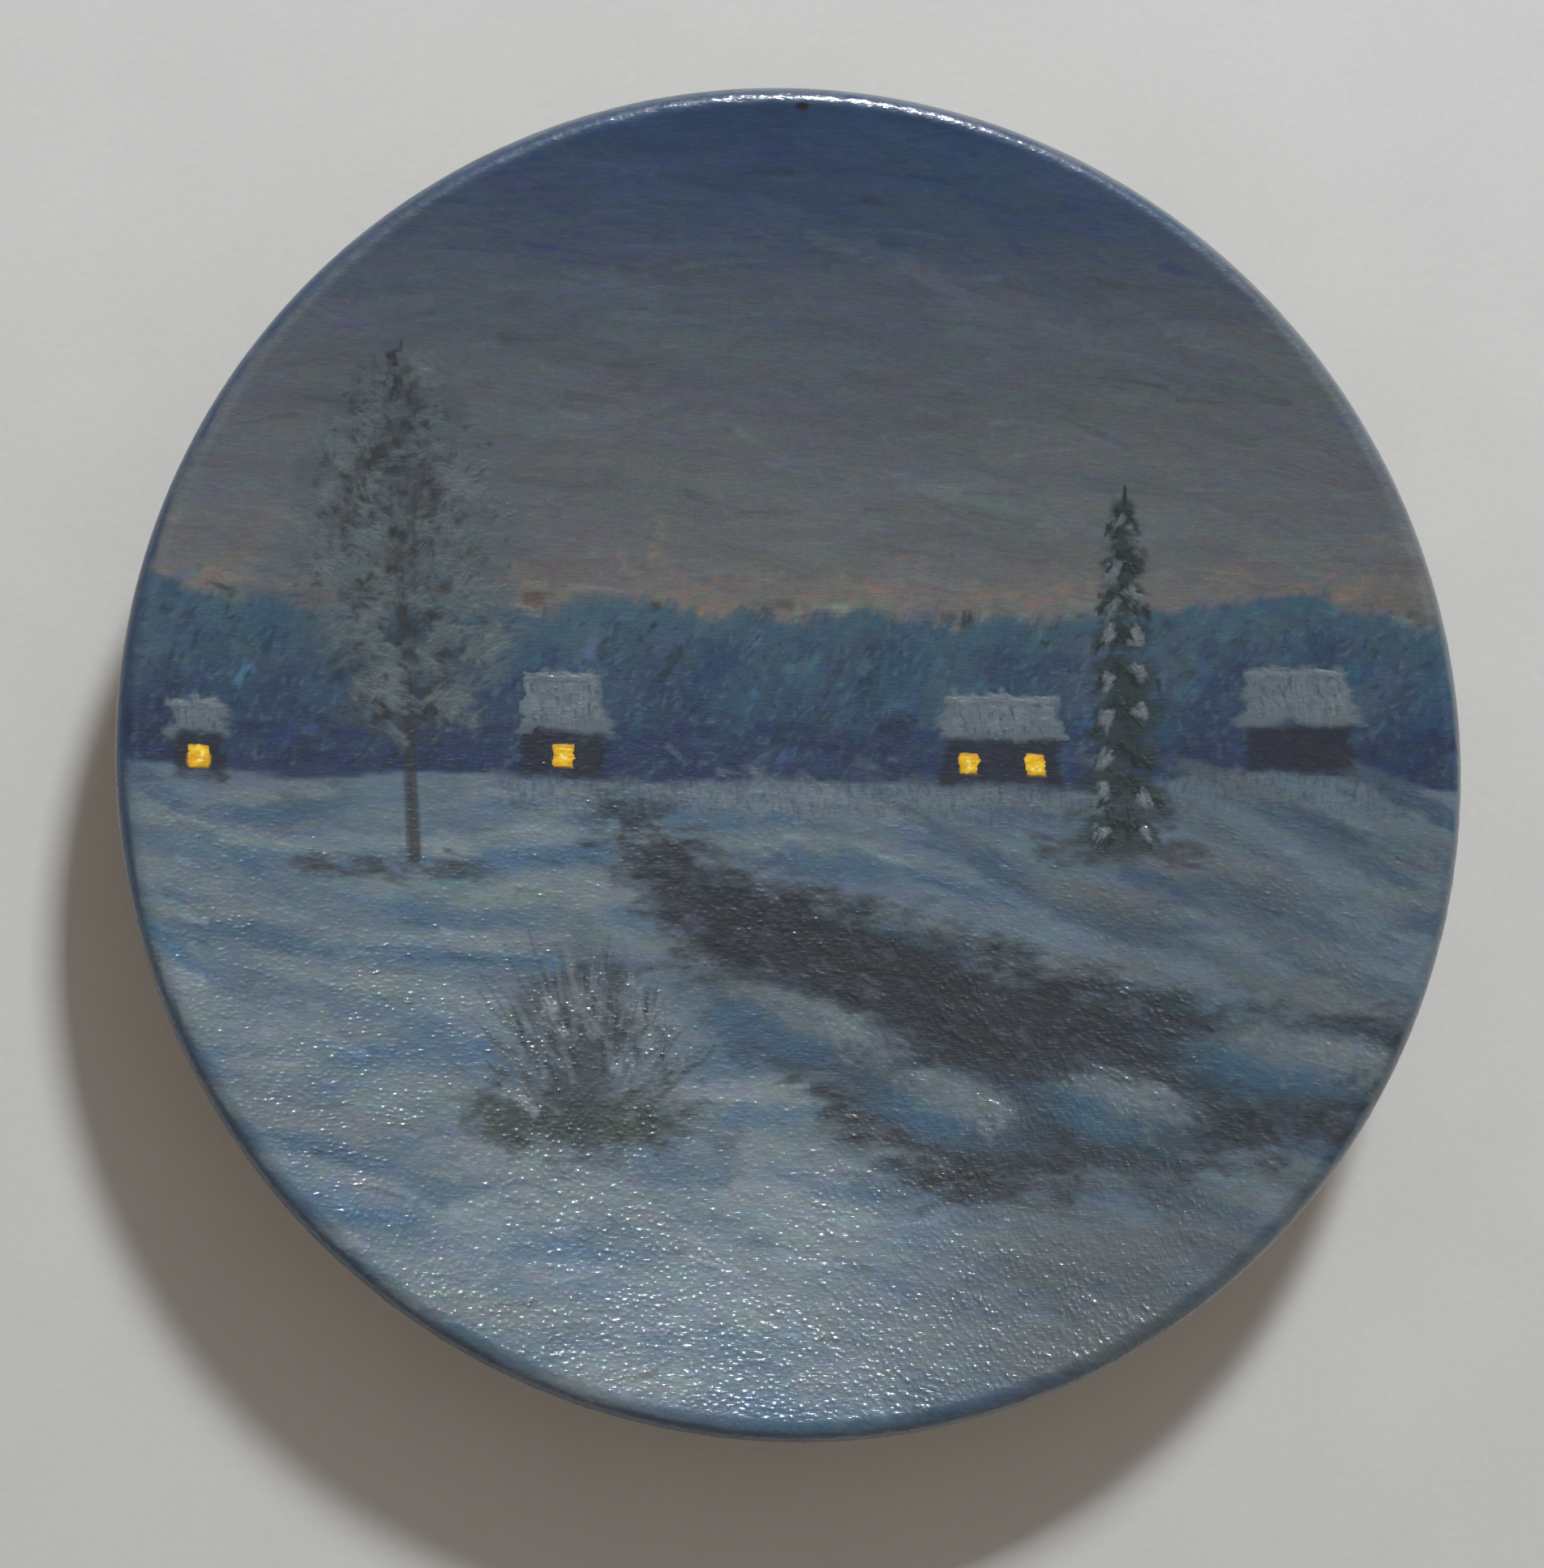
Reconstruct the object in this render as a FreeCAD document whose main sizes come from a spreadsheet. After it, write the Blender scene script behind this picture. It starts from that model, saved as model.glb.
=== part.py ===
"""Small turned wooden dish with a hand-painted face, built as a parametric FreeCAD document.

Frame: millimetres, +Z up, origin at the middle of the foot ring's resting plane, +Y towards the
top of the painted picture. The dish is a wooden turning under a ground coat and a paint film,
with the picture's thickest brush strokes standing on the film as separate raised dabs.
"""
import FreeCAD, Part
import math
import os

import Sketcher

DIMENSIONS = {
    # overall size of the painted dish
    "plate_radius": 50.0,
    "plate_height": 13.5,
    "rim_round": 1.3,
    "floor_height": 7.2,
    # wooden underside
    "underside_radius": 91.0,
    "foot_radius": 29.0,
    "recess_radius": 25.5,
    "recess_depth": 1.4,
    # coats on the wood
    "ground_coat": 0.15,
    "paint_coat": 0.15,
    "coat_edge_height": 10.2,
    # raised strokes
    "stroke_height": 0.25,
    "tree_x": -28.0,
    "tree_y": -8.0,
    "tree_tall": 37.0,
    "spruce_x": 25.0,
    "spruce_y": -6.0,
    "spruce_tall": 26.0,
    "spruce_width": 5.0,
    "bush_x": -14.0,
    "bush_y": -29.0,
    "bush_reach": 18.0,
}

document = FreeCAD.newDocument("painted_dish")
sheet = document.addObject("Spreadsheet::Sheet", "Sizes")
for row, (alias, value) in enumerate(DIMENSIONS.items(), start=1):
    sheet.set(f"A{row}", alias)
    sheet.set(f"B{row}", str(value))
    sheet.setAlias(f"B{row}", alias)
document.recompute()


def size(alias):
    """A driving dimension as a plain number, read back from the sheet."""
    return float(sheet.get(alias))


# ---------------------------------------------------------------- turned bodies


def origin_plane(body, role):
    """The body's own origin plane with this role."""
    return next(f for f in body.Origin.OriginFeatures if f.Role == role)


def new_body(label, sketch_label):
    """A PartDesign body with an empty sketch on its own XZ plane."""
    body = document.addObject("PartDesign::Body", label)
    body.Label = label
    sketch = body.newObject("Sketcher::SketchObject", sketch_label)
    sketch.AttachmentSupport = [(origin_plane(body, "XZ_Plane"), "")]
    sketch.MapMode = "FlatFace"
    return body, sketch


def bind(sketch, constraint, expression):
    """Adds a dimension to the sketch and ties it to an expression of sheet cells."""
    index = sketch.addConstraint(constraint)
    sketch.setExpression(f"Constraints[{index}]", expression)
    return index


def cell(alias):
    """How an expression names a sheet cell."""
    return f"Sizes.{alias}"


def arc(centre, radius, start, end):
    """An arc in the sketch plane, counter-clockwise from start to end, in radians."""
    circle = Part.Circle(FreeCAD.Vector(*centre, 0), FreeCAD.Vector(0, 0, 1), radius)
    return Part.ArcOfCircle(circle, start, end)


def segment(start, end):
    """A straight sketch line."""
    return Part.LineSegment(FreeCAD.Vector(*start, 0), FreeCAD.Vector(*end, 0))


def skin_arcs(cover):
    """Centres, radii and joining angles of the three arcs of the surface that lies cover mm
    outside the wood: the concave face, the rounded rim and the convex underside."""
    coats = size("ground_coat") + size("paint_coat")
    rim_centre = (size("plate_radius") - size("rim_round"), size("plate_height") - size("rim_round"))
    rim_radius = size("rim_round") - coats + cover
    floor = size("floor_height") - coats + cover
    rise = rim_centre[1] - floor
    face_radius = (rim_centre[0] ** 2 + rise**2 - rim_radius**2) / (2 * (rise + rim_radius))
    face_centre = (0.0, floor + face_radius)
    under_radius = size("underside_radius") + cover
    drop = math.sqrt((under_radius - rim_radius) ** 2 - rim_centre[0] ** 2)
    under_centre = (0.0, rim_centre[1] + drop)
    face_angle = math.atan2(rim_centre[1] - face_centre[1], rim_centre[0])
    under_angle = math.atan2(rim_centre[1] - under_centre[1], rim_centre[0])
    return {
        "face": (face_centre, face_radius, -math.pi / 2, face_angle),
        "rim": (rim_centre, rim_radius, under_angle, face_angle + math.pi),
        "under": (under_centre, under_radius, under_angle),
    }


def at_height(centre, radius, height):
    """Angle of the point on a circle's lower right quarter at this height."""
    return math.asin((height - centre[1]) / radius)


def on_circle(centre, radius, angle):
    """A point of a circle."""
    return (centre[0] + radius * math.cos(angle), centre[1] + radius * math.sin(angle))


def draw_surface(sketch, cover, cover_expression, end_angle):
    """Draws face, rim and underside arcs of the surface cover mm outside the wood and ties them
    to the sheet. Returns their geometry numbers. The face arc's point 1 is on the axis, and the
    underside arc's point 1 is left free for the caller to place."""
    arcs = skin_arcs(cover)
    face = sketch.addGeometry(arc(*arcs["face"]))
    rim = sketch.addGeometry(arc(*arcs["rim"]))
    centre, radius, joint_angle = arcs["under"]
    under = sketch.addGeometry(arc(centre, radius, end_angle, joint_angle))
    add = sketch.addConstraint
    add(Sketcher.Constraint("PointOnObject", face, 3, -2))
    add(Sketcher.Constraint("PointOnObject", face, 1, -2))
    add(Sketcher.Constraint("PointOnObject", under, 3, -2))
    add(Sketcher.Constraint("Tangent", face, 2, rim, 2))
    add(Sketcher.Constraint("Tangent", under, 2, rim, 1))
    rim_centre, rim_radius = arcs["rim"][:2]
    skin = f"({cell('ground_coat')} + {cell('paint_coat')} - ({cover_expression}))"
    across = f"{cell('plate_radius')} - {cell('rim_round')}"
    up = f"{cell('plate_height')} - {cell('rim_round')}"
    floor = arcs["face"][0][1] - arcs["face"][1]
    bind(sketch, Sketcher.Constraint("DistanceX", -1, 1, rim, 3, rim_centre[0]), across)
    bind(sketch, Sketcher.Constraint("DistanceY", -1, 1, rim, 3, rim_centre[1]), up)
    bind(sketch, Sketcher.Constraint("Radius", rim, rim_radius), f"{cell('rim_round')} - {skin}")
    floor_expression = f"{cell('floor_height')} - {skin}"
    under_expression = f"{cell('underside_radius')} + {cover_expression}"
    bind(sketch, Sketcher.Constraint("DistanceY", -1, 1, face, 1, floor), floor_expression)
    bind(sketch, Sketcher.Constraint("Radius", under, radius), under_expression)
    return face, rim, under


def revolve(body, sketch, label):
    """Turns the body's profile once round the Z axis."""
    turning = body.newObject("PartDesign::Revolution", label)
    turning.Profile = sketch
    turning.ReferenceAxis = (sketch, ["V_Axis"])
    turning.Angle = 360.0
    sketch.Visibility = False
    return turning


def make_wood_plate():
    """The bare turning: dished face, rounded rim, convex underside and a foot ring."""
    body, sketch = new_body("wood_plate", "plate_profile")
    centre, radius, _ = skin_arcs(0.0)["under"]
    foot_angle = -math.acos(size("foot_radius") / radius)
    face, _, under = draw_surface(sketch, 0.0, "0", foot_angle)
    shoulder = on_circle(centre, radius, foot_angle)
    floor = (0.0, skin_arcs(0.0)["face"][0][1] - skin_arcs(0.0)["face"][1])
    foot, recess, depth = size("foot_radius"), size("recess_radius"), size("recess_depth")
    corners = [shoulder, (foot, 0.0), (recess, 0.0), (recess, depth), (0.0, depth), floor]
    lines = [sketch.addGeometry(segment(*pair)) for pair in zip(corners, corners[1:])]
    add = sketch.addConstraint
    add(Sketcher.Constraint("Coincident", lines[0], 1, under, 1))
    for line, following in zip(lines, lines[1:]):
        add(Sketcher.Constraint("Coincident", line, 2, following, 1))
    add(Sketcher.Constraint("Coincident", lines[-1], 2, face, 1))
    for line in (lines[0], lines[2], lines[4]):
        add(Sketcher.Constraint("Vertical", line))
    add(Sketcher.Constraint("Horizontal", lines[3]))
    add(Sketcher.Constraint("PointOnObject", lines[1], 1, -1))
    add(Sketcher.Constraint("PointOnObject", lines[1], 2, -1))
    bind(sketch, Sketcher.Constraint("DistanceX", -1, 1, lines[1], 1, foot), cell("foot_radius"))
    bind(sketch, Sketcher.Constraint("DistanceX", -1, 1, lines[1], 2, recess), cell("recess_radius"))
    bind(sketch, Sketcher.Constraint("DistanceY", -1, 1, lines[3], 1, depth), cell("recess_depth"))
    revolve(body, sketch, "plate_turning")
    return body


def make_coat(label, inner, outer, inner_expression, outer_expression):
    """A coat that covers the face, wraps the rim and ends a little way down the outside."""
    body, sketch = new_body(label, f"{label}_profile")
    edge = size("coat_edge_height")
    surfaces, ends = [], []
    for cover, expression in ((inner, inner_expression), (outer, outer_expression)):
        centre, radius, _ = skin_arcs(cover)["under"]
        angle = at_height(centre, radius, edge)
        surfaces.append(draw_surface(sketch, cover, expression, angle))
        ends.append(on_circle(centre, radius, angle))
    floors = [(0.0, skin_arcs(c)["face"][0][1] - skin_arcs(c)["face"][1]) for c in (inner, outer)]
    lip = sketch.addGeometry(segment(*ends))
    middle = sketch.addGeometry(segment(*floors))
    add = sketch.addConstraint
    for point, (face, _, under) in enumerate(surfaces, start=1):
        add(Sketcher.Constraint("Coincident", lip, point, under, 1))
        add(Sketcher.Constraint("Coincident", middle, point, face, 1))
    add(Sketcher.Constraint("Horizontal", lip))
    bind(sketch, Sketcher.Constraint("DistanceY", -1, 1, lip, 1, edge), cell("coat_edge_height"))
    revolve(body, sketch, f"{label}_turning")
    return body


# ---------------------------------------------------------------- raised strokes


def stroke(foot, tip, foot_width, tip_width):
    """The four corners of a tapered brush stroke from foot to tip."""
    length = math.dist(foot, tip)
    side = ((foot[1] - tip[1]) / length, (tip[0] - foot[0]) / length)
    return [
        (end[0] + half * side[0], end[1] + half * side[1])
        for end, half in (
            (foot, foot_width / 2),
            (tip, tip_width / 2),
            (tip, -tip_width / 2),
            (foot, -foot_width / 2),
        )
    ]


def polar(centre, reach, degrees):
    """A point at this reach and bearing, counted counter-clockwise from +X."""
    angle = math.radians(degrees)
    return (centre[0] + reach * math.cos(angle), centre[1] + reach * math.sin(angle))


def sphere_inside(label, radius_expression, centre_expression):
    """A ball that touches the face from above, bound to the sheet."""
    ball = document.addObject("Part::Sphere", label)
    ball.setExpression("Radius", radius_expression)
    ball.setExpression("Placement.Base.z", centre_expression)
    return ball


def make_balls():
    """The ball whose surface is the painted face, and a smaller one with the same centre whose
    surface is the top of the raised strokes."""
    rise = f"({cell('plate_height')} - {cell('rim_round')} - {cell('floor_height')})"
    across = f"({cell('plate_radius')} - {cell('rim_round')})"
    rim = cell("rim_round")
    radius = f"({across} ^ 2 + {rise} ^ 2 - {rim} ^ 2) / (2 * ({rise} + {rim}))"
    centre = f"{cell('floor_height')} * 1 mm + {radius} * 1 mm"
    face_ball = sphere_inside("face_ball", f"{radius} * 1 mm", centre)
    top_ball = sphere_inside("top_ball", f"({radius} - {cell('stroke_height')}) * 1 mm", centre)
    return face_ball, top_ball


def make_raised(label, outlines, place, face_ball, top_ball):
    """Raised paint: the outlines, carried straight up, between the painted face and the level of
    the strokes' tops. The outlines are drawn about the motif's foot, which place puts on the dish."""
    sketch = document.addObject("Sketcher::SketchObject", f"{label}_outline")
    for outline in outlines:
        first = sketch.GeometryCount
        for start, end in zip(outline, outline[1:] + outline[:1]):
            sketch.addGeometry(segment(start, end))
        last = sketch.GeometryCount - 1
        for line in range(first, last):
            sketch.addConstraint(Sketcher.Constraint("Coincident", line, 2, line + 1, 1))
        sketch.addConstraint(Sketcher.Constraint("Coincident", last, 2, first, 1))
    if place:
        sketch.setExpression("Placement.Base.x", cell(place[0]))
        sketch.setExpression("Placement.Base.y", cell(place[1]))
    column = document.addObject("Part::Extrusion", f"{label}_column")
    column.Base = sketch
    column.DirMode = "Custom"
    column.Dir = FreeCAD.Vector(0, 0, 1)
    column.Solid = True
    column.setExpression("LengthFwd", cell("plate_height"))
    above_face = document.addObject("Part::Common", f"{label}_above_face")
    above_face.Base = column
    above_face.Tool = face_ball
    raised = document.addObject("Part::Cut", label)
    raised.Base = above_face
    raised.Tool = top_ball
    raised.Label = label
    return raised


# The village: each house's eave middle, the length of its eave, how high its roof looks and how
# many windows it has.
HOUSES = [
    (-44.0, 1.0, 4.0, 2.0, 1),
    (-17.0, 2.0, 7.0, 4.0, 1),
    (16.0, 2.0, 10.0, 3.0, 2),
    (38.0, 3.0, 9.0, 4.0, 0),
]


def window_outlines():
    """Lit windows: short level bars one above the other, evenly spaced under the eaves."""
    bar, pitch, bars, width, drop = 0.42, 0.58, 3, 1.4, 1.8
    outlines = []
    for x, y, eave, _, count in HOUSES:
        for n in range(count):
            middle = x + eave * ((n + 0.5) / count - 0.5)
            for level in range(bars):
                height = y - drop + pitch * (level - (bars - 1) / 2)
                left, right = (middle - width / 2, height), (middle + width / 2, height)
                outlines.append(stroke(left, right, bar, bar))
    return outlines


def roof_outlines():
    """Snow on the roofs: one sheet each, a little shorter along its ridge than along its eave."""
    ridge_share = 0.8
    return [
        [
            (x - eave / 2, y),
            (x + eave / 2, y),
            (x + ridge_share * eave / 2, y + tall),
            (x - ridge_share * eave / 2, y + tall),
        ]
        for x, y, eave, tall, _ in HOUSES
    ]


def tree_outlines():
    """A tall bare tree: a tapered trunk with slanting boughs, longest a third of the way up."""
    tall, boughs = size("tree_tall"), 11
    trunk_width, bough_width, clear = 0.8, 0.9, 0.7
    outlines = [stroke((0.0, 0.0), (-2.0, tall), trunk_width, trunk_width / 3)]
    for n in range(boughs):
        share = 0.28 + 0.66 * n / (boughs - 1)
        reach = 5.6 * math.sin(math.pi * min(1.0, 1.15 * (1.0 - share))) + 0.9
        root = (-2.0 * share, tall * share)
        for side in (-1, 1):
            foot = (root[0] + side * clear, root[1])
            tip = (foot[0] + side * reach, foot[1] + 0.35 * reach)
            outlines.append(stroke(foot, tip, bough_width, bough_width / 3))
    return outlines


def spruce_outlines():
    """A narrow spruce: tiers of hanging boughs that widen downwards, with a gap under each."""
    tall, widest, tiers = size("spruce_tall"), size("spruce_width"), 9
    pitch, gap = tall / tiers, 0.35
    outlines = []
    for tier in range(tiers):
        low = pitch * tier
        width = widest * (1.0 - tier / tiers) ** 0.6
        outlines.append(stroke((0.0, low), (0.0, low + pitch - gap), width, 0.35 * width))
    return outlines


def bush_outlines():
    """A leafless bush: twigs that fan out from one root, long in the middle of the fan."""
    reach, twigs = size("bush_reach"), 13
    outlines = []
    for n in range(twigs):
        bearing = 152.0 - 100.0 * n / (twigs - 1)
        length = reach * (0.82 + 0.18 * math.cos(math.radians(3 * (bearing - 100.0))))
        foot = polar((0.0, 0.0), 5.0 + 2.0 * (n % 2), bearing)
        outlines.append(stroke(foot, polar((0.0, 0.0), length, bearing), 0.45, 0.25))
    return outlines


# ---------------------------------------------------------------- the document


def make_parts():
    """Every sub-part of the dish, in the order in which it is put on."""
    ground, film = size("ground_coat"), size("ground_coat") + size("paint_coat")
    ground_expression = cell("ground_coat")
    film_expression = f"({cell('ground_coat')} + {cell('paint_coat')})"
    parts = [
        make_wood_plate(),
        make_coat("ground_coat", 0.0, ground, "0", ground_expression),
        make_coat("paint_film", ground, film, ground_expression, film_expression),
    ]
    balls = make_balls()
    raised = [
        ("raised_windows", window_outlines(), None),
        ("raised_roof_snow", roof_outlines(), None),
        ("raised_tree", tree_outlines(), ("tree_x", "tree_y")),
        ("raised_spruce", spruce_outlines(), ("spruce_x", "spruce_y")),
        ("raised_bush", bush_outlines(), ("bush_x", "bush_y")),
    ]
    parts += [make_raised(label, outlines, place, *balls) for label, outlines, place in raised]
    return parts


def check(parts):
    """Stops with a message if any object failed or any sub-part has no sound shape."""
    for thing in document.Objects:
        if "Invalid" in thing.State or "Error" in thing.State:
            raise RuntimeError(f"{thing.Label} failed: {thing.State}")
    for part in parts:
        if part.Shape.isNull() or not part.Shape.isValid() or not part.Shape.Solids:
            raise RuntimeError(f"{part.Label} has no valid solid")


parts = make_parts()
document.recompute()
check(parts)
os.makedirs("parts", exist_ok=True)
for part in parts:
    part.Shape.exportStep(f"parts/{part.Label}.step")
    box = part.Shape.BoundBox
    print(
        f"{part.Label}: {len(part.Shape.Solids)} solids, {part.Shape.Volume:.1f} mm3, "
        f"z {box.ZMin:.2f} to {box.ZMax:.2f}, x {box.XMin:.2f} to {box.XMax:.2f}"
    )
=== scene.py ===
"""The looks of a small turned wooden dish with a hand-painted winter evening over its face.

Lengths are millimetres until a mesh or a lamp is made, and metres from there on. The picture is
worked out on rasters of paint (colour and thickness) by brush strokes, and the meshes take their
vertex colours and their relief from those rasters. +Y is the top of the picture.
"""
import math

import bpy
import numpy as np
from mathutils import Matrix, Vector


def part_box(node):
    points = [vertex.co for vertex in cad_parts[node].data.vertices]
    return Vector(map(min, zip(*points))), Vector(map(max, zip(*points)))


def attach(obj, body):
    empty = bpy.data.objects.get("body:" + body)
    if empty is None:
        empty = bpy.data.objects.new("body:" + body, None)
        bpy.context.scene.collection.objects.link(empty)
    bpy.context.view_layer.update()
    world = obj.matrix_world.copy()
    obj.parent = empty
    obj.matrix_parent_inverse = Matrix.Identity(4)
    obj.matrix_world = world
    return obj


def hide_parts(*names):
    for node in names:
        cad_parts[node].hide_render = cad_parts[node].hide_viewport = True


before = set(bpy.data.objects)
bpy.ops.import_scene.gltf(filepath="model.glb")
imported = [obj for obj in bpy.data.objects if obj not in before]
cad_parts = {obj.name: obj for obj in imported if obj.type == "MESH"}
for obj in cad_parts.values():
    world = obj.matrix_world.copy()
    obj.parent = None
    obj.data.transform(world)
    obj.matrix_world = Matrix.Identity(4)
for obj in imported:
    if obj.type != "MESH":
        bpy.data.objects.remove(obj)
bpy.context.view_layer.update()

MM = 0.001
SEED = 11
random = np.random.default_rng(SEED)

# ---------------------------------------------------------------- shape of the dish

film_low, film_high = (np.array(corner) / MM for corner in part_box("paint_film"))
PLATE_RADIUS = float(max(film_high[0] - film_low[0], film_high[1] - film_low[1])) / 2
PLATE_HEIGHT = float(film_high[2])
COAT = 0.15
FEATHERED = 0.03  # what is left of a coat's thickness at its brushed-out edge
RIM_ROUND = 1.3
FLOOR_HEIGHT = float(film_low[2]) + COAT
UNDERSIDE_RADIUS = 91.0
FOOT_RADIUS, RECESS_RADIUS, RECESS_DEPTH = 29.0, 25.5, 1.4


def along_arc(centre, radius, turn):
    """Distance from the axis, height and outward normal (as two numbers) along an arc."""
    across, up = np.cos(turn), np.sin(turn)
    return np.stack([centre[0] + radius * across, centre[1] + radius * up, across, up])


class Section:
    """The dish's section through its axis, cover mm outside the wood: the concave face, the
    rounded rim and the convex underside, as arcs that meet in tangents."""

    def __init__(self, cover):
        self.rim = np.array([PLATE_RADIUS - RIM_ROUND, PLATE_HEIGHT - RIM_ROUND])
        self.rim_radius = RIM_ROUND - 2 * COAT + cover
        floor = FLOOR_HEIGHT - 2 * COAT + cover
        rise = self.rim[1] - floor
        spare = self.rim[0] ** 2 + rise**2 - self.rim_radius**2
        self.face_radius = spare / (2 * (rise + self.rim_radius))
        self.face_centre = floor + self.face_radius
        self.under_radius = UNDERSIDE_RADIUS + cover
        inner = self.under_radius - self.rim_radius
        self.under_centre = self.rim[1] + math.sqrt(inner**2 - self.rim[0] ** 2)
        self.inner_angle = math.atan2(self.rim[1] - self.face_centre, self.rim[0]) + math.pi
        self.outer_angle = math.atan2(self.rim[1] - self.under_centre, self.rim[0])
        self.face_reach = self.rim[0] + self.rim_radius * math.cos(self.inner_angle)
        self.rim_length = self.rim_radius * (self.inner_angle - self.outer_angle)

    def at(self, reach):
        """Distance from the axis, height and outward normal at an unrolled reach: the distance from
        the axis on the face, and beyond it the way along the surface."""
        reach = np.asarray(reach, float)
        tilt = np.arcsin(np.clip(reach / self.face_radius, 0, 1))
        level = self.face_centre - self.face_radius * np.cos(tilt)
        face = np.stack([reach, level, -np.sin(tilt), np.cos(tilt)])
        beyond = reach - self.face_reach
        rim = along_arc(self.rim, self.rim_radius, self.inner_angle - beyond / self.rim_radius)
        turn = self.outer_angle - (beyond - self.rim_length) / self.under_radius
        under = along_arc((0.0, self.under_centre), self.under_radius, turn)
        on_face = reach <= self.face_reach
        on_rim = reach <= self.face_reach + self.rim_length
        return np.where(on_face, face, np.where(on_rim, rim, under))


PAINTED = Section(2 * COAT)
GROUNDED = Section(COAT)
WOODEN = Section(0.0)

# ---------------------------------------------------------------- noise and colour


def smooth(value):
    """Eases 0..1 in and out, and holds the ends."""
    value = np.clip(value, 0.0, 1.0)
    return value * value * (3.0 - 2.0 * value)


def noise(x, y, scale_x, scale_y=None, seed=0, octaves=3):
    """Soft value noise around 0, about -1 to 1, with blobs of the given size in mm."""
    scale_y = scale_y or scale_x
    total, weight, size = 0.0, 0.0, 256
    for octave in range(octaves):
        table = np.random.default_rng(1000 * seed + octave).random((size, size)) * 2 - 1
        u = x / scale_x * 2**octave + 37.0
        v = y / scale_y * 2**octave + 91.0
        i, j = np.floor(u).astype(int), np.floor(v).astype(int)
        fu, fv = smooth(u - i), smooth(v - j)
        i0, j0, i1, j1 = i % size, j % size, (i + 1) % size, (j + 1) % size
        low = table[j0, i0] * (1 - fu) + table[j0, i1] * fu
        high = table[j1, i0] * (1 - fu) + table[j1, i1] * fu
        total = total + (low * (1 - fv) + high * fv) * 0.6**octave
        weight += 0.6**octave
    return total / weight * 1.6


# What the room adds to every colour through the varnish, and how far the light dims the paint itself.
VARNISH_HAZE = np.array([0.027, 0.023, 0.019])
PAINT_GAIN = np.array([1.58, 1.61, 1.74])
DARKEST = 0.004


def tone(red, green, blue):
    """A paint's own linear colour, from how it reads to the eye under varnish, 0 to 255."""
    shown = np.array([red, green, blue], float) / 255
    linear = np.where(shown <= 0.04045, shown / 12.92, ((shown + 0.055) / 1.055) ** 2.4)
    return np.maximum(linear - VARNISH_HAZE, DARKEST) * PAINT_GAIN


def turned(origin, offset, tilt):
    """The point at this offset from the origin once the offset is turned by tilt degrees."""
    (x, y), (u, v), turn = origin, offset, math.radians(tilt)
    return x + u * math.cos(turn) - v * math.sin(turn), y + u * math.sin(turn) + v * math.cos(turn)


# ---------------------------------------------------------------- rasters of paint

# How much paint each bristle carries: one row for a bristle, streaky along it.
BRISTLE_TABLE = 512
BRISTLES = np.random.default_rng(5).random((BRISTLE_TABLE, BRISTLE_TABLE))
for step in (1, 2, 4, 8, 16):
    BRISTLES = (BRISTLES + np.roll(BRISTLES, step, axis=1)) / 2
BRISTLES = (BRISTLES - BRISTLES.min()) / (BRISTLES.max() - BRISTLES.min())
BRISTLE_PITCH = 0.14


class Raster:
    """Heights on a square grid over a rectangle of the picture, in unrolled mm."""

    def __init__(self, low, high, cell):
        self.low, self.cell = np.array(low, float), cell
        self.columns = int(round((high[0] - low[0]) / cell)) + 1
        self.rows = int(round((high[1] - low[1]) / cell)) + 1
        self.height = np.zeros((self.rows, self.columns))

    def grid(self, columns=slice(None), rows=slice(None)):
        """The x and y of every cell, or of a window of them."""
        x = self.low[0] + self.cell * np.arange(self.columns)[columns]
        y = self.low[1] + self.cell * np.arange(self.rows)[rows]
        return np.meshgrid(x, y)

    def window(self, low, high):
        """Slices of the cells between two corners."""
        first = np.floor((np.array(low) - self.low) / self.cell).astype(int)
        last = np.ceil((np.array(high) - self.low) / self.cell).astype(int) + 1
        columns = slice(max(first[0], 0), min(last[0], self.columns))
        rows = slice(max(first[1], 0), min(last[1], self.rows))
        return columns, rows

    def sample(self, values, x, y):
        """Values of the raster at points, between its cells."""
        u = np.clip((x - self.low[0]) / self.cell, 0, self.columns - 1.001)
        v = np.clip((y - self.low[1]) / self.cell, 0, self.rows - 1.001)
        i, j = u.astype(int), v.astype(int)
        fu, fv = u - i, v - j
        if values.ndim == 3:
            fu, fv = fu[..., None], fv[..., None]
        low = values[j, i] * (1 - fu) + values[j, i + 1] * fu
        high = values[j + 1, i] * (1 - fu) + values[j + 1, i + 1] * fu
        return low * (1 - fv) + high * fv


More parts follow.
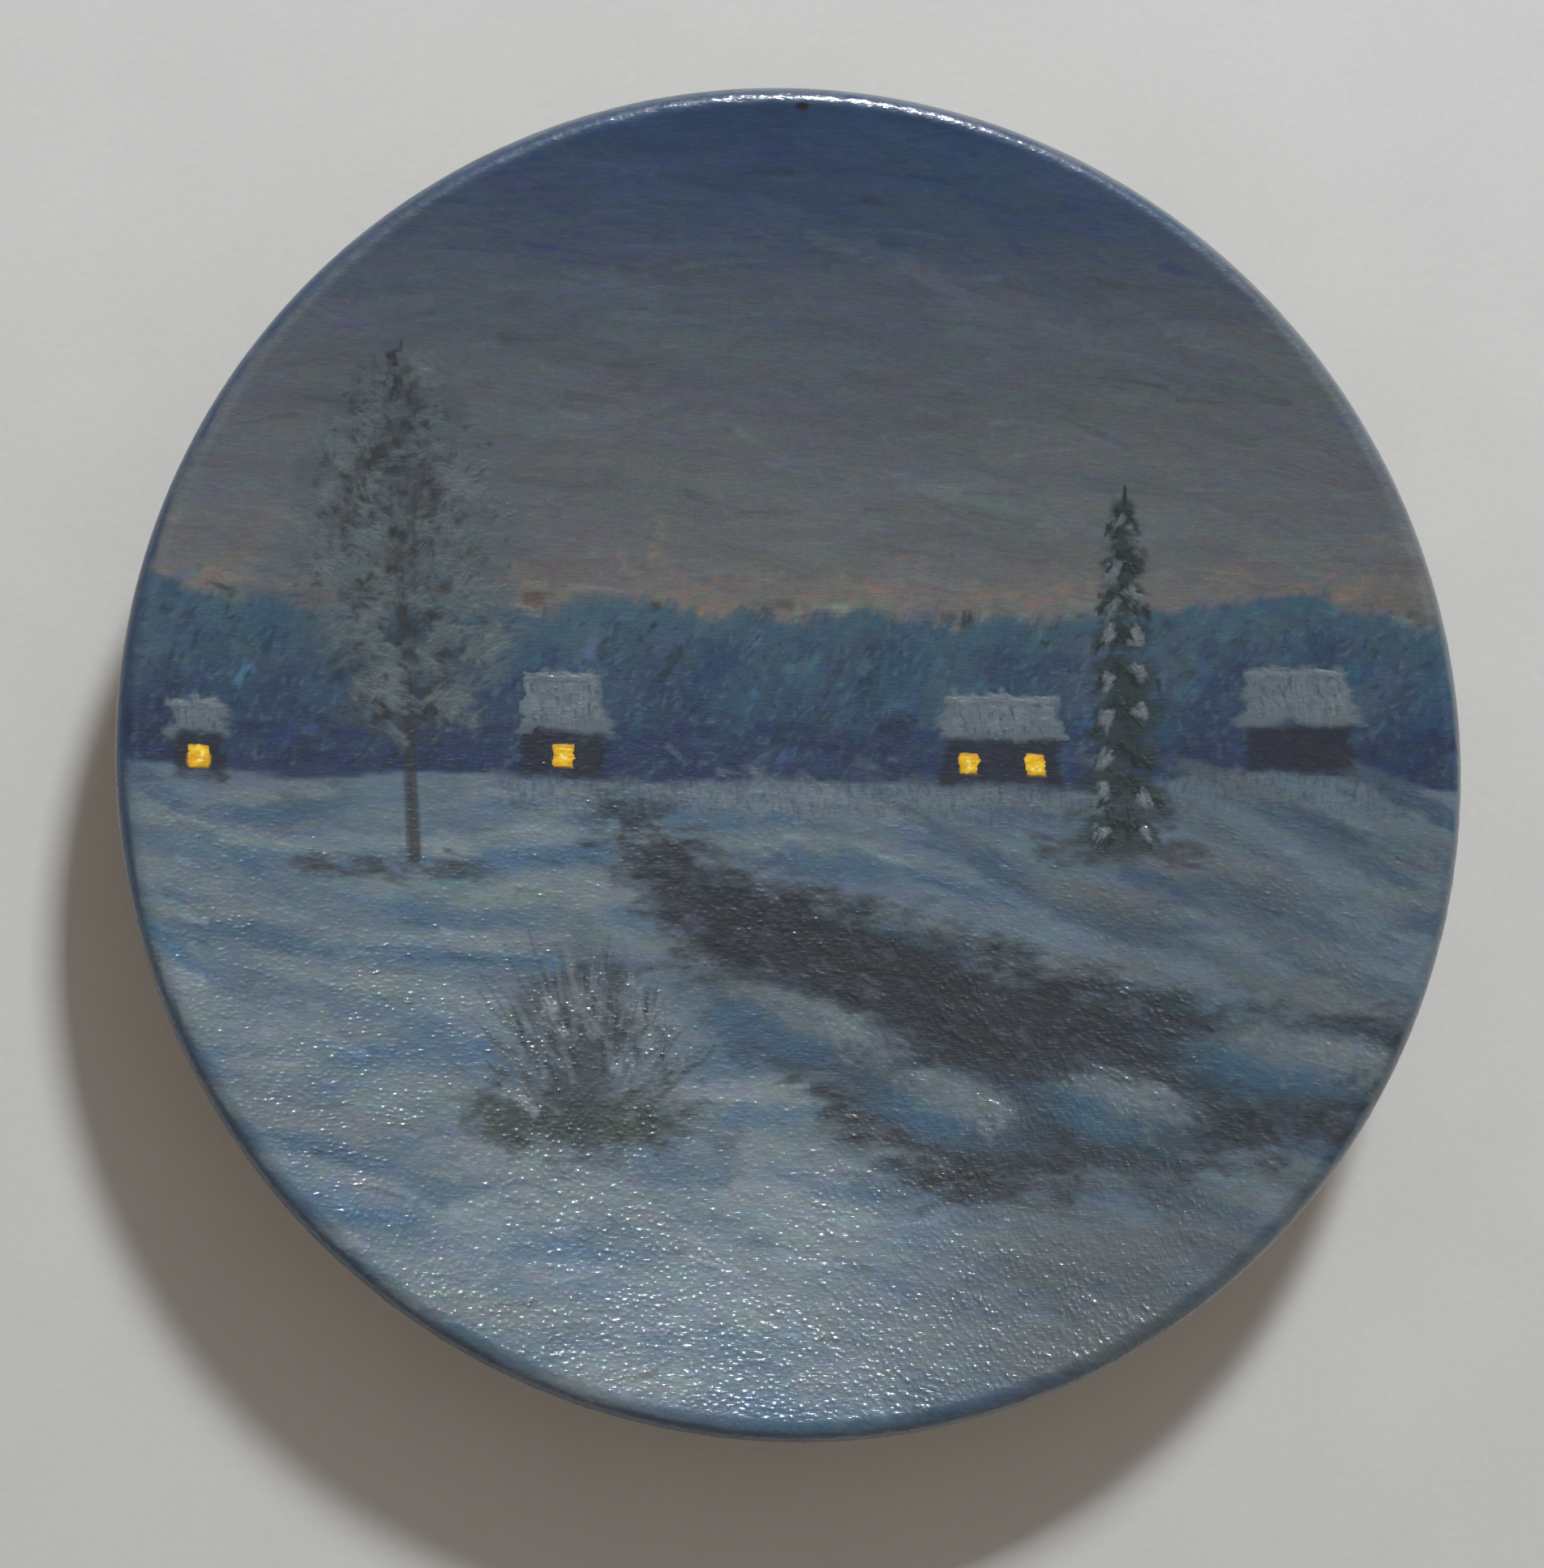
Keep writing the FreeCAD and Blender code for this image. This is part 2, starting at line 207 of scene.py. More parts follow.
class Layer(Raster):
    """A raster of paint: colour and how much stands up, with the grain that it is brushed over.
    The tooth, 0 to 1, is how readily that grain takes paint off the bristles."""

    def __init__(self, low, high, cell, grain):
        super().__init__(low, high, cell)
        self.colour = np.zeros((self.rows, self.columns, 3))
        self.grain = grain
        self.x, self.y = self.grid()
        full_tooth = 0.05
        self.tooth = np.clip(grain.sample(grain.height, self.x, self.y) / full_tooth, 0, 1)

    def relief(self, x, y):
        """Height of the painted surface over the bare turned shape."""
        return self.sample(self.height, x, y) + self.grain.sample(self.grain.height, x, y)

    def lay(self, columns, rows, alpha, colour, body=0.0):
        """Puts paint on a window: its colour by alpha, and its body on top of the height."""
        self.colour[rows, columns] += (colour - self.colour[rows, columns]) * alpha[..., None]
        if body:
            self.height[rows, columns] += body * alpha

    def cover(self, colour, alpha):
        """Puts a colour over the whole raster by alpha."""
        self.colour += (colour - self.colour) * alpha[..., None]

    def take_over(self, other):
        """Takes over another layer's colours where the two overlap."""
        last = other.low + other.cell * np.array([other.columns - 1, other.rows - 1])
        columns, rows = self.window(other.low, last)
        self.colour[rows, columns] = other.sample(other.colour, *self.grid(columns, rows))

    def stroke(self, start, end, width, colour, bow=0.0, dry=0.3, strength=1.0, body=0.0, taper=0.5,
               soft=0.35):
        """One brush stroke. bow is how far its middle bends to its left, dry how much of it the
        bristles leave out towards the end, taper how much narrower it ends and soft how much of
        its half width fades out."""
        start, end = np.asarray(start, float), np.asarray(end, float)
        reach = width / 2 + abs(bow) + 2 * self.cell
        columns, rows = self.window(np.minimum(start, end) - reach, np.maximum(start, end) + reach)
        if columns.start >= columns.stop or rows.start >= rows.stop:
            return
        x, y = self.grid(columns, rows)
        length = max(math.dist(start, end), 1e-6)
        along = (end - start) / length
        u = ((x - start[0]) * along[0] + (y - start[1]) * along[1]) / length
        v = -(x - start[0]) * along[1] + (y - start[1]) * along[0] - bow * 4 * u * (1 - u)
        half = np.maximum(width / 2 * (1 - taper * np.clip(u, 0, 1) ** 1.5), self.cell * 0.6)
        ends = np.minimum(u, 1 - u) * length / ((0.2 + 0.5 * soft) * width + self.cell)
        edge = smooth((half - np.abs(v)) / (soft * half + self.cell) + 0.5) * smooth(ends + 0.5)
        row = np.floor(v / BRISTLE_PITCH).astype(int) + random.integers(BRISTLE_TABLE)
        column = np.floor(u * length / (2.5 * BRISTLE_PITCH)).astype(int) + random.integers(BRISTLE_TABLE)
        load = 0.6 * BRISTLES[row % BRISTLE_TABLE, column % BRISTLE_TABLE] + 0.4 * self.tooth[rows, columns]
        kept = smooth((load - dry * (0.45 + 0.75 * np.clip(u, 0, 1))) * 5 + 0.5)
        self.lay(columns, rows, edge * kept * strength, colour, body)

    def patch(self, x, y, wide, high, tilt, colour, strength=0.8, soft=0.6, rough=0.35):
        """A soft oval of colour with an uneven edge."""
        turn = math.radians(tilt)
        reach = 1.6 * max(wide, high)
        columns, rows = self.window((x - reach, y - reach), (x + reach, y + reach))
        if columns.start >= columns.stop or rows.start >= rows.stop:
            return
        gx, gy = self.grid(columns, rows)
        u = ((gx - x) * math.cos(turn) + (gy - y) * math.sin(turn)) / wide
        v = (-(gx - x) * math.sin(turn) + (gy - y) * math.cos(turn)) / high
        own_seed = int(7 * abs(x) + 13 * abs(y))
        away = np.hypot(u, v) + rough * noise(gx, gy, 2.6, 1.1, seed=own_seed, octaves=4)
        self.lay(columns, rows, smooth((1 - away) / soft + 0.5) * strength, colour)

    def dab(self, middle, colours, length, width, angle, spread=12.0, **how):
        """One short stroke. angle is in degrees or a function of the place, and colours is a
        list to choose from."""
        middle = np.array(middle)
        lean = angle(*middle) if callable(angle) else angle
        turn = math.radians(lean + spread * random.normal())
        half = length * (0.6 + 0.8 * random.random()) / 2
        way = np.array([math.cos(turn), math.sin(turn)]) * half
        colour = colours[random.integers(len(colours))] * (0.92 + 0.16 * random.random())
        self.stroke(middle - way, middle + way, width * (0.6 + 0.8 * random.random()), colour, **how)

    def passage(self, x, y, wide, high, tilt, colour, strength):
        """A passage of one colour: a soft oval worked over with strokes that lie along it."""
        self.patch(x, y, wide, high, tilt, colour, 0.85 * strength, soft=1.0, rough=0.45)
        for _ in range(int(10 + 1.3 * wide * high)):
            middle = turned((x, y), random.normal(0, 0.52, 2) * (wide, high), tilt)
            shade = colour * (1 + 0.08 * random.normal()) * (1 + 0.012 * random.normal(size=3))
            self.dab(middle, [shade], 2.2 + 0.18 * wide, 0.8, tilt, spread=8, dry=0.42,
                     strength=0.5 * strength, body=0.010, soft=0.6)

    def along(self, count, start, end, scatter, colours, length, width, lean, **how):
        """Short strokes scattered about the line from start to end."""
        start, end = np.asarray(start), np.asarray(end)
        for _ in range(count):
            middle = start + (end - start) * random.random() + random.normal(0, scatter, 2)
            self.dab(middle, colours, length, width, lean, **how)

    def strew(self, count, low, high, colours, length, width, lean, **how):
        """Short strokes spread evenly over a rectangle."""
        for _ in range(count):
            self.dab(random.uniform(low, high), colours, length, width, lean, **how)

    def area(self, outline, colour, strength=0.9, soft=0.5, rough=0.5, body=0.0):
        """A filled outline with a soft, uneven edge."""
        outline = np.array(outline, float)
        margin = 2 * soft + rough
        columns, rows = self.window(outline.min(0) - margin, outline.max(0) + margin)
        x, y = self.grid(columns, rows)
        nearest = np.full(x.shape, 1e9)
        inside = np.zeros(x.shape, bool)
        for (ax, ay), (bx, by) in zip(outline, np.roll(outline, -1, axis=0)):
            dx, dy = bx - ax, by - ay
            along = np.clip(((x - ax) * dx + (y - ay) * dy) / (dx * dx + dy * dy), 0, 1)
            nearest = np.minimum(nearest, np.hypot(x - ax - along * dx, y - ay - along * dy))
            if ay != by:
                inside ^= ((ay > y) != (by > y)) & (x < ax + (y - ay) * dx / dy)
        away = np.where(inside, -nearest, nearest) + rough * noise(x, y, 2.2, 0.9, seed=51, octaves=4)
        self.lay(columns, rows, smooth(0.5 - away / (2 * soft)) * strength, colour, body)

    def brush_over(self, count, low, high, length, width, angle, change=0.06, spread=9.0, **how):
        """Strokes that each take up the colour where they start and lighten or darken it a
        little, so that a flat passage shows the way that the brush went."""
        for _ in range(count):
            x = low[0] + random.random() * (high[0] - low[0])
            y = low[1] + random.random() * (high[1] - low[1])
            if math.hypot(x, y) > PAINTED.face_reach + 1.5:
                continue
            lean = angle(x, y) if callable(angle) else angle
            turn = math.radians(lean + spread * random.normal())
            half = length * (0.5 + random.random()) / 2
            way = np.array([math.cos(turn), math.sin(turn)]) * half
            if random.random() < 0.5:
                way = -way
            colour = self.sample(self.colour, np.array([x]), np.array([y]))[0]
            colour = colour * (1 + change * random.normal()) * (1 + 0.35 * change * random.normal(size=3))
            thick = width * (0.6 + 0.8 * random.random())
            self.stroke((x, y) - way, (x, y) + way, thick, colour, bow=0.06 * half * random.normal(), **how)


# ---------------------------------------------------------------- the picture


def solids_of(node):
    """The separate solids of a CAD node from left to right, each as its points in plan, in mm."""
    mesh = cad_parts[node].data
    points = np.array([vertex.co for vertex in mesh.vertices]) / MM
    places, owner = np.unique(np.round(points, 3), axis=0, return_inverse=True)
    links = owner.ravel()[np.array([edge.vertices[:] for edge in mesh.edges])]
    label = np.arange(len(places))
    while True:
        lowest = label.copy()
        np.minimum.at(lowest, links[:, 0], label[links[:, 1]])
        np.minimum.at(lowest, links[:, 1], label[links[:, 0]])
        if (lowest == label).all():
            break
        label = lowest
    solids = [places[label == number, :2] for number in np.unique(label)]
    return sorted(solids, key=lambda solid: tuple(solid.mean(axis=0)))


def boxes_of(node):
    """The lower and upper corner in plan of each solid of a CAD node, from left to right."""
    return [(solid.min(axis=0), solid.max(axis=0)) for solid in solids_of(node)]


def spine(solid, root):
    """The two ends of a long solid's middle line, first the one nearer to root."""
    middle = solid.mean(axis=0)
    _, _, ways = np.linalg.svd(solid - middle, full_matrices=False)
    along, across = (solid - middle) @ ways[0], (solid - middle) @ ways[1]
    middle = middle + ways[1] * (across.min() + across.max()) / 2
    ends = [middle + ways[0] * along.min(), middle + ways[0] * along.max()]
    return sorted(ends, key=lambda end: math.dist(end, root))


def raise_grain():
    """The turning's short raised dashes, which show through every coat. They lie in level rows
    over most of the face, lean over towards the lower right and are faint in the sky."""
    half, along, across, cell = 56.0, 0.40, 0.27, 0.055
    tallest = 0.029
    grain = Raster((-half, -half), (half, half), cell)
    x, y = np.meshgrid(np.arange(1 - half, half - 1, along), np.arange(1 - half, half - 1, across))
    x = (x + along * random.normal(0, 0.45, x.shape)).ravel()
    y = (y + across * random.normal(0, 0.22, y.shape)).ravel()
    lean = np.radians(-6 - 46 * smooth((x + 4) / 20) * smooth((-2 - y) / 14) + random.normal(0, 13, x.shape))
    strong = 0.20 + 0.30 * smooth((6 - y) / 10) + 0.43 * smooth((-20 - 0.5 * x - y) / 16)
    swell = np.abs(random.normal(0, 1, x.shape)) * strong * (0.85 + 0.5 * noise(x, y, 6, seed=3))
    tall = tallest * np.clip(swell, 0, 1.9)
    long = 0.11 + 0.13 * random.random(x.shape)
    wide = 0.065 + 0.035 * random.random(x.shape)
    reach = int(0.5 / cell)
    column, row = (np.round((at - low) / cell).astype(int) for at, low in zip((x, y), grain.low))
    for i in range(-reach, reach + 1):
        for j in range(-reach, reach + 1):
            dx = (column + i) * cell + grain.low[0] - x
            dy = (row + j) * cell + grain.low[1] - y
            u, v = dx * np.cos(lean) + dy * np.sin(lean), dy * np.cos(lean) - dx * np.sin(lean)
            value = tall * np.exp(-((u / long) ** 2) - (v / wide) ** 2)
            at = np.clip(row + j, 0, grain.rows - 1), np.clip(column + i, 0, grain.columns - 1)
            np.maximum.at(grain.height, at, value)
    return grain


def brush_lean(x, y):
    """The way of the brush, in degrees: level in the sky and snow, rising in the forest."""
    forest_foot, forest_top = -1, 11
    if y > forest_top:
        return -4 - 6 * math.sin(x / 18)
    if y > forest_foot:
        return 56 + 10 * math.sin(x / 9)
    return -6 - 14 * max(0.0, min(1.0, (x + 5) / 30)) + 5 * math.sin(x / 8 + y / 5)


def ridge(x):
    """Height of the forest's uneven top."""
    return 11.4 + 2.0 * noise(x, np.zeros_like(x), 12, seed=30, octaves=3)


def snow_edge(x):
    """Height of the far edge of the snow."""
    return -1.3 + 0.7 * noise(x, np.zeros_like(x), 18, seed=40, octaves=2)


def blended(share, stops, tones):
    """Colours between the tones that stand at the stops."""
    return np.stack([np.interp(share, stops, [t[k] for t in tones]) for k in range(3)], axis=-1)


def paint_sky(film):
    """Deep blue at the top, a grey haze in the middle and a faint warm glow over the forest."""
    x, y = film.x, film.y
    tones = [tone(100, 100, 98), tone(94, 97, 99), tone(86, 91, 95), tone(68, 79, 95), tone(52, 68, 93)]
    warped = y + 2.2 * noise(x, y, 30, 6, seed=1)
    film.colour = blended(warped, (12, 19, 31, 41, 50), tones)
    for k, seed in enumerate((21, 22, 23)):
        film.colour[..., k] *= 1 + 0.055 * noise(x, y, 12, 1.3, seed=seed, octaves=4)
    film.brush_over(700, (-52, 9), (52, 52), 16.0, 1.5, brush_lean, change=0.10, dry=0.4, strength=0.6,
                    soft=0.8)
    hues = [tone(74, 80, 96), tone(82, 92, 97), tone(92, 89, 92), tone(88, 91, 92)]
    film.strew(520, (-48, 14), (48, 40), hues, 6.0, 0.5, brush_lean, spread=5, dry=0.55, strength=0.28,
               body=0.008, soft=0.5)
    blues = [tone(46, 66, 96), tone(62, 74, 94), tone(54, 67, 95)]
    film.strew(300, (-40, 36), (40, 50), blues, 7.0, 0.6, brush_lean, spread=6, dry=0.5, strength=0.32,
               body=0.008, soft=0.5)
    film.brush_over(1500, (-52, 10), (52, 52), 9.0, 0.5, brush_lean, change=0.15, dry=0.5, strength=0.6,
                    body=0.007)
    warm = [tone(120, 110, 102), tone(112, 105, 100), tone(128, 106, 92)]
    glows = 26
    for _ in range(glows):
        x0 = random.uniform(-46, 46)
        y0 = float(ridge(x0)) + random.uniform(0.4, 3.0)
        film.along(22, (x0 - 3, y0), (x0 + 3, y0 + 0.6), 0.7, warm, 2.2, 0.55, 8, spread=15, dry=0.5,
                   strength=0.36, soft=0.7)


def paint_forest(film):
    """A far band of forest: teal at its soft top, indigo at its foot, scumbled in rising strokes."""
    x, y = film.x, film.y
    top = ridge(x) + 0.5 * noise(x, y, 2.4, 1.2, seed=31, octaves=4)
    tones = [tone(70, 87, 98), tone(64, 80, 94), tone(57, 70, 86), tone(54, 62, 80)]
    colour = blended(np.clip((top - y) / 12.0, 0, 1), (0, 0.3, 0.7, 1), tones)
    colour *= 1 + 0.17 * noise(x, y, 3.2, 1.6, seed=33, octaves=4)[..., None]
    film.cover(colour, smooth((top - y) / 0.9 + 0.4) * 0.97)
    film.brush_over(900, (-50, -1), (50, 12), 2.6, 0.8, brush_lean, change=0.38, dry=0.4, strength=0.75,
                    soft=0.6)
    clumps = [tone(60, 84, 98), tone(52, 74, 92), tone(76, 90, 98), tone(54, 62, 82)]
    for _ in range(70):
        x0, y0 = random.uniform(-48, 48), random.uniform(1.5, 10.5)
        wide, high = 1.2 + 2 * random.random(), 0.9 + random.random()
        film.patch(x0, y0, wide, high, 50, clumps[random.integers(4)], 0.5, soft=1.3, rough=0.6)
    scumble = [tone(82, 99, 109), tone(70, 93, 107), tone(48, 59, 80), tone(70, 78, 95)]
    film.strew(3200, (-49, -0.5), (49, 11.5), scumble, 1.4, 0.24, 54, spread=26, dry=0.48, strength=0.62,
               body=0.010)
    crest = [tone(62, 84, 98), tone(70, 90, 100)]
    for _ in range(520):
        x0 = random.uniform(-49, 49)
        y0 = float(ridge(x0)) + random.normal(-0.1, 0.45)
        film.stroke((x0 - 0.3, y0 - 1.0), (x0 + 0.4, y0 + 0.5), 0.8, crest[random.integers(2)], dry=0.45,
                    strength=0.6, soft=0.6)
    low = [tone(48, 59, 86), tone(56, 60, 84), tone(50, 54, 68)]
    film.strew(460, (-49, -1.5), (49, 3.2), low, 3.0, 0.7, 2, dry=0.4, strength=0.5, soft=0.7)


def paint_drifts(film):
    """Rows of drifts, each a pale crown above a blue hollow, dimmer towards the lower right."""
    rows, columns, pitch_x, pitch_y = 13, 12, 8.5, 3.5
    crown, hollow = tone(114, 124, 126), tone(74, 97, 115)
    for row in range(rows):
        for column in range(columns):
            px = -48 + pitch_x * (column + 0.5 * (row % 2)) + 2.2 * random.normal()
            py = -4.0 - pitch_y * row + 0.8 * random.normal()
            near = row / rows
            wide, high = 3.5 + 5.5 * random.random(), (1.0 + 1.3 * near) * random.uniform(0.6, 1.5)
            right, front = float(smooth((px + 4) / 30)), float(smooth((-28 - py) / 10))
            dim = (0.92 - 0.34 * right - 0.20 * right * front + 0.05 * front) * random.uniform(0.84, 1.14)
            lean = brush_lean(px, py) + 9 * random.normal() - 12 * float(smooth((-30 - px) / 14))
            film.passage(px, py + 0.45 * high, wide, high, lean, crown * dim, random.uniform(0.3, 0.95))
            film.passage(px + 2.0, py - 0.75 * high, wide, 0.8 * high, lean, hollow * dim,
                         random.uniform(0.25, 0.9))


# The stream's middle line from the houses to the right edge: x, y and half its width there.
STREAM = [(-14, -5, 1.5), (-2, -15, 7), (12, -23, 10), (30, -24, 6), (54, -23, 3)]


def stream_at(x):
    """The stream's middle height and half width at x."""
    across, middles, halves = zip(*STREAM)
    return float(np.interp(x, across, middles)), float(np.interp(x, across, halves))


def paint_stream(film):
    """The dark stream that winds through the snow to the right, with mounds of snow in it."""
    upper = [(x, y + half) for x, y, half in STREAM]
    lower = [(x, y - half) for x, y, half in reversed(STREAM)]
    film.area(upper + lower, tone(48, 51, 53), 0.97, soft=2.3, rough=2.2)
    dark = [tone(50, 52, 54), tone(64, 62, 66), tone(54, 56, 55), tone(66, 70, 78), tone(80, 82, 88)]
    for _ in range(900):
        px = random.uniform(-12, 50)
        middle, half = stream_at(px)
        place = (px, middle + half * random.uniform(-0.85, 0.85))
        film.dab(place, dark, 2.4, 0.5, brush_lean, spread=20, dry=0.48, strength=0.5, body=0.010, soft=0.6)
    mounds = 4
    for n in range(mounds):
        px = -1 + 13.0 * n + 1.5 * random.normal()
        middle, half = stream_at(px)
        py = middle + half * random.uniform(-0.75, 0.3)
        paint_mound(film, px, py, random.uniform(5.0, 8.5), random.uniform(2.2, 3.8), -18 + 3 * n)


def paint_mound(film, px, py, wide, high, tilt):
    """A mound of snow: blue in itself, with light dabs that follow its crown on the lit side."""
    shade, blue, pale = tone(64, 78, 88), tone(62, 88, 106), tone(97, 105, 107)
    film.patch(px, py - 0.1 * high, wide, high, tilt, shade, 0.8, soft=1.4, rough=0.5)
    film.patch(px - 0.35 * wide, py - 0.1 * high, 0.6 * wide, 0.7 * high, tilt, blue, 0.6, soft=1.3)
    film.patch(px + 0.1 * wide, py + 0.35 * high, 0.75 * wide, 0.5 * high, tilt, pale, 0.7, soft=1.3)
    crown, lit = tone(102, 110, 112), 68
    crowns = [crown, crown * 0.88, crown * 1.1]
    for _ in range(int(15 * wide)):
        bearing = math.radians(lit + 52 * random.normal())
        reach = 0.9 - 0.34 * abs(random.normal())
        offset = reach * wide * math.cos(bearing), reach * high * math.sin(bearing)
        way = math.degrees(math.atan2(high * math.cos(bearing), -wide * math.sin(bearing))) + tilt
        film.dab(turned((px, py), offset, tilt), crowns, 2.2, 0.6, way, spread=14, dry=0.46, strength=0.30,
                 body=0.012, soft=0.8)


def paint_snow(film):
    """The snowfield, the stream through it and the dry grass along its far edge."""
    x, y = film.x, film.y
    edge = snow_edge(x) + 0.35 * noise(x, y, 3.0, 0.8, seed=41, octaves=4)
    colour = tone(92, 105, 114) * (1 + 0.10 * noise(x, y, 5, 1.6, seed=42, octaves=4))[..., None]
    film.cover(colour, smooth((edge - y) / 0.7 + 0.5) * 0.98)
    paint_drifts(film)
    paint_stream(film)
    film.brush_over(1900, (-50, -48), (50, -2), 3.5, 0.45, brush_lean, change=0.18, dry=0.46, strength=0.66,
                    body=0.010)
    grass = [tone(58, 66, 86), tone(70, 78, 90), tone(88, 97, 106)]
    for _ in range(1900):
        px = random.uniform(-22, 46)
        py = float(snow_edge(px)) + 0.2 - 2.6 * random.random() ** 1.5
        film.dab((px, py), grass, 0.75, 0.14, 96, spread=16, dry=0.3, strength=0.36)


def rectangle(low, high):
    """Its corners, counter-clockwise."""
    return [low, (high[0], low[1]), high, (low[0], high[1])]


def paint_houses(film):
    """Dark walls under the snowy roofs."""
    wall, wall_height, under_eave = tone(52, 53, 58), 3.2, 0.4
    for (left, eave), (right, _) in boxes_of("raised_roof_snow"):
        inset = 0.06 * (right - left)
        film.area(rectangle((left + inset, eave - wall_height), (right - inset, eave + under_eave)),
                  wall, 0.93, soft=0.4, rough=0.5)


def paint_shade(film):
    """The shade at the feet of the tree, the spruce and the bush."""
    grey = [tone(74, 78, 81), tone(64, 67, 69)]
    for node, wide in (("raised_tree", 7.0), ("raised_spruce", 6.0)):
        foot = foot_of(node)
        film.along(90, foot - (wide, 0.4), foot + (wide, -0.4), 0.5, grey, 2.2, 0.5, -5, spread=6, dry=0.4,
                   strength=0.5, soft=0.8)
    foot = foot_of("raised_bush")
    film.patch(foot[0], foot[1] + 0.3, 8.0, 1.8, -3, tone(60, 66, 63), 0.8, soft=1.2, rough=0.6)
    film.patch(foot[0], foot[1] + 5.5, 4.0, 6.0, 0, tone(58, 60, 61), 0.8, soft=1.5, rough=0.7)
    root = [tone(58, 62, 60), tone(66, 72, 66), tone(54, 58, 56)]
    film.along(260, foot - (7, 0), foot + (7, 0), 1.1, root, 1.9, 0.7, 4, spread=30, dry=0.42, strength=0.5,
               soft=0.7)


def foot_of(node):
    """The middle of a motif's lower edge, in mm."""
    low, high = (np.array(corner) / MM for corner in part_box(node))
    return np.array([(low[0] + high[0]) / 2, low[1]])


def paint_rim(film):
    """The paint carried over the rim: slate at the left, olive grey at the right and dark outside, with a
    small dark nick at the top where the face begins.
    The lighter olive grey towards the lamp's side is painted light and a painted reflection of the floor,
    and the darker outside is painted shade."""
    x, y = film.x, film.y
    reach, turn = np.hypot(x, y), np.arctan2(y, x)
    wear_and_light_wobble = noise(turn * 30, reach, 1.4, 0.5, seed=61, octaves=4)
    # Painted light: lighter olive grey towards the right, where the lamp falls, as a painted reflection of
    # the lit floor; slate on the shaded left.
    share = smooth(0.5 + 0.5 * np.cos(turn - math.radians(15)) + 0.2 * wear_and_light_wobble)
    outer = blended(share, (0, 1), (tone(58, 71, 88), tone(104, 109, 110)))
    start = PAINTED.face_reach + 0.75 + 0.25 * wear_and_light_wobble
    film.cover(outer, smooth((reach - start) / 0.6) * 0.85)
    outside = PAINTED.face_reach + 1.9 + 0.2 * wear_and_light_wobble
    # Painted shade: a darker copy of the rim colour further out, where the rim turns under, away from the
    # light.
    film.cover(outer * 0.72, smooth((reach - outside) / 0.4) * 0.7)
    crest = smooth(1 - np.abs(reach - PAINTED.face_reach - 1.0) / 1.6)
    film.height += 0.022 * crest * noise(turn * 50, reach, 0.9, 0.5, seed=63, octaves=3)
    nick = np.hypot(x, (y - PAINTED.face_reach) * 2.0)
    film.cover(tone(48, 42, 38), smooth((0.7 - nick) / 0.3) * 0.9)
    film.height -= 0.04 * smooth((0.6 - nick) / 0.4)


def break_up(film):
    """Broken colour: every hue flickers a little from one bristle mark to the next."""
    for channel, seed in enumerate((64, 65, 66)):
        fine = noise(film.x, film.y, 0.5, 0.35, seed=seed, octaves=2)
        broad = noise(film.x, film.y, 2.4, 1.2, seed=seed + 3, octaves=2)
        film.colour[..., channel] *= 1 + 0.07 * fine + 0.045 * broad
    film.colour *= (1 + 0.10 * (film.tooth - 0.2))[..., None]


def paint_picture():
    """The whole thin picture, from the far sky to the rim."""
    past_rim, cell = 3.5, 0.085
    half = PAINTED.face_reach + PAINTED.rim_length + past_rim
    film = Layer((-half, -half), (half, half), cell, raise_grain())
    for paint in (paint_sky, paint_forest, paint_snow, paint_houses, paint_shade, break_up, paint_rim):
        paint(film)
    film.height += 0.006 * noise(film.x, film.y, 1.6, seed=71, octaves=3)
    return film


# ---------------------------------------------------------------- meshes


def make_piece(name, points, quads, triangles, colours, node):
    """A closed mesh in metres with a colour at every point, riding on the dish in place of node."""
    mesh = bpy.data.meshes.new(name)
    corners = np.concatenate([quads.ravel(), triangles.ravel()])
    sizes = np.concatenate([np.full(len(quads), 4), np.full(len(triangles), 3)])
    mesh.vertices.add(len(points))
    mesh.vertices.foreach_set("co", (points * MM).ravel())
    mesh.loops.add(len(corners))
    mesh.loops.foreach_set("vertex_index", corners)
    mesh.polygons.add(len(sizes))
    mesh.polygons.foreach_set("loop_start", np.cumsum(sizes) - sizes)
    mesh.update(calc_edges=True)
    mesh.shade_smooth()
    paint = mesh.color_attributes.new("paint", "FLOAT_COLOR", "POINT")
    paint.data.foreach_set("color", np.column_stack([colours, np.ones(len(points))]).ravel())
    piece = bpy.data.objects.new(name, mesh)
    bpy.context.scene.collection.objects.link(piece)
    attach(piece, "root")
    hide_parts(node)
    return piece


def ring_quads(first, second):
    """Quads between two closed rings of point numbers, facing away from the side on which the
    rings run counter-clockwise from first outwards to second."""
    return np.column_stack([first, second, np.roll(second, -1), np.roll(first, -1)])


def on_dish(section, x, y, height):
    """Points on a section's surface at unrolled plan places, raised by height along the normal."""
    reach = np.hypot(x, y)
    distance, level, outward, upward = section.at(reach)
    safe = np.maximum(reach, 1e-9)
    across = (distance + outward * height) / safe
    return np.stack([x * across, y * across, level + upward * height], axis=-1)


def ring_places(reach, turns):
    """Unrolled x and y of a ring of points."""
    return reach * np.cos(turns), reach * np.sin(turns)


def centre_point(section):
    """The point of a section on the axis."""
    return on_dish(section, np.zeros(1), np.zeros(1), np.zeros(1))


def brushed_edge(turns, seed, least, most):
    """An uneven line round the dish, in mm past another one: where a coat brushed on by hand ends."""
    x, y = 50 * np.cos(turns), 50 * np.sin(turns)
    share = 0.5 + 0.5 * noise(x, y, 9, seed=seed, octaves=5)
    return least + (most - least) * np.clip(share, 0, 1)


def paint_end(turns):
    """How far past the rim the paint runs down the outside, in mm."""
    return brushed_edge(turns, 81, 0.9, 2.2)


def feathering(to_edge, feather):
    """How much thinner a coat is at this distance from its edge."""
    return (COAT - FEATHERED) * smooth(1 - to_edge / feather)


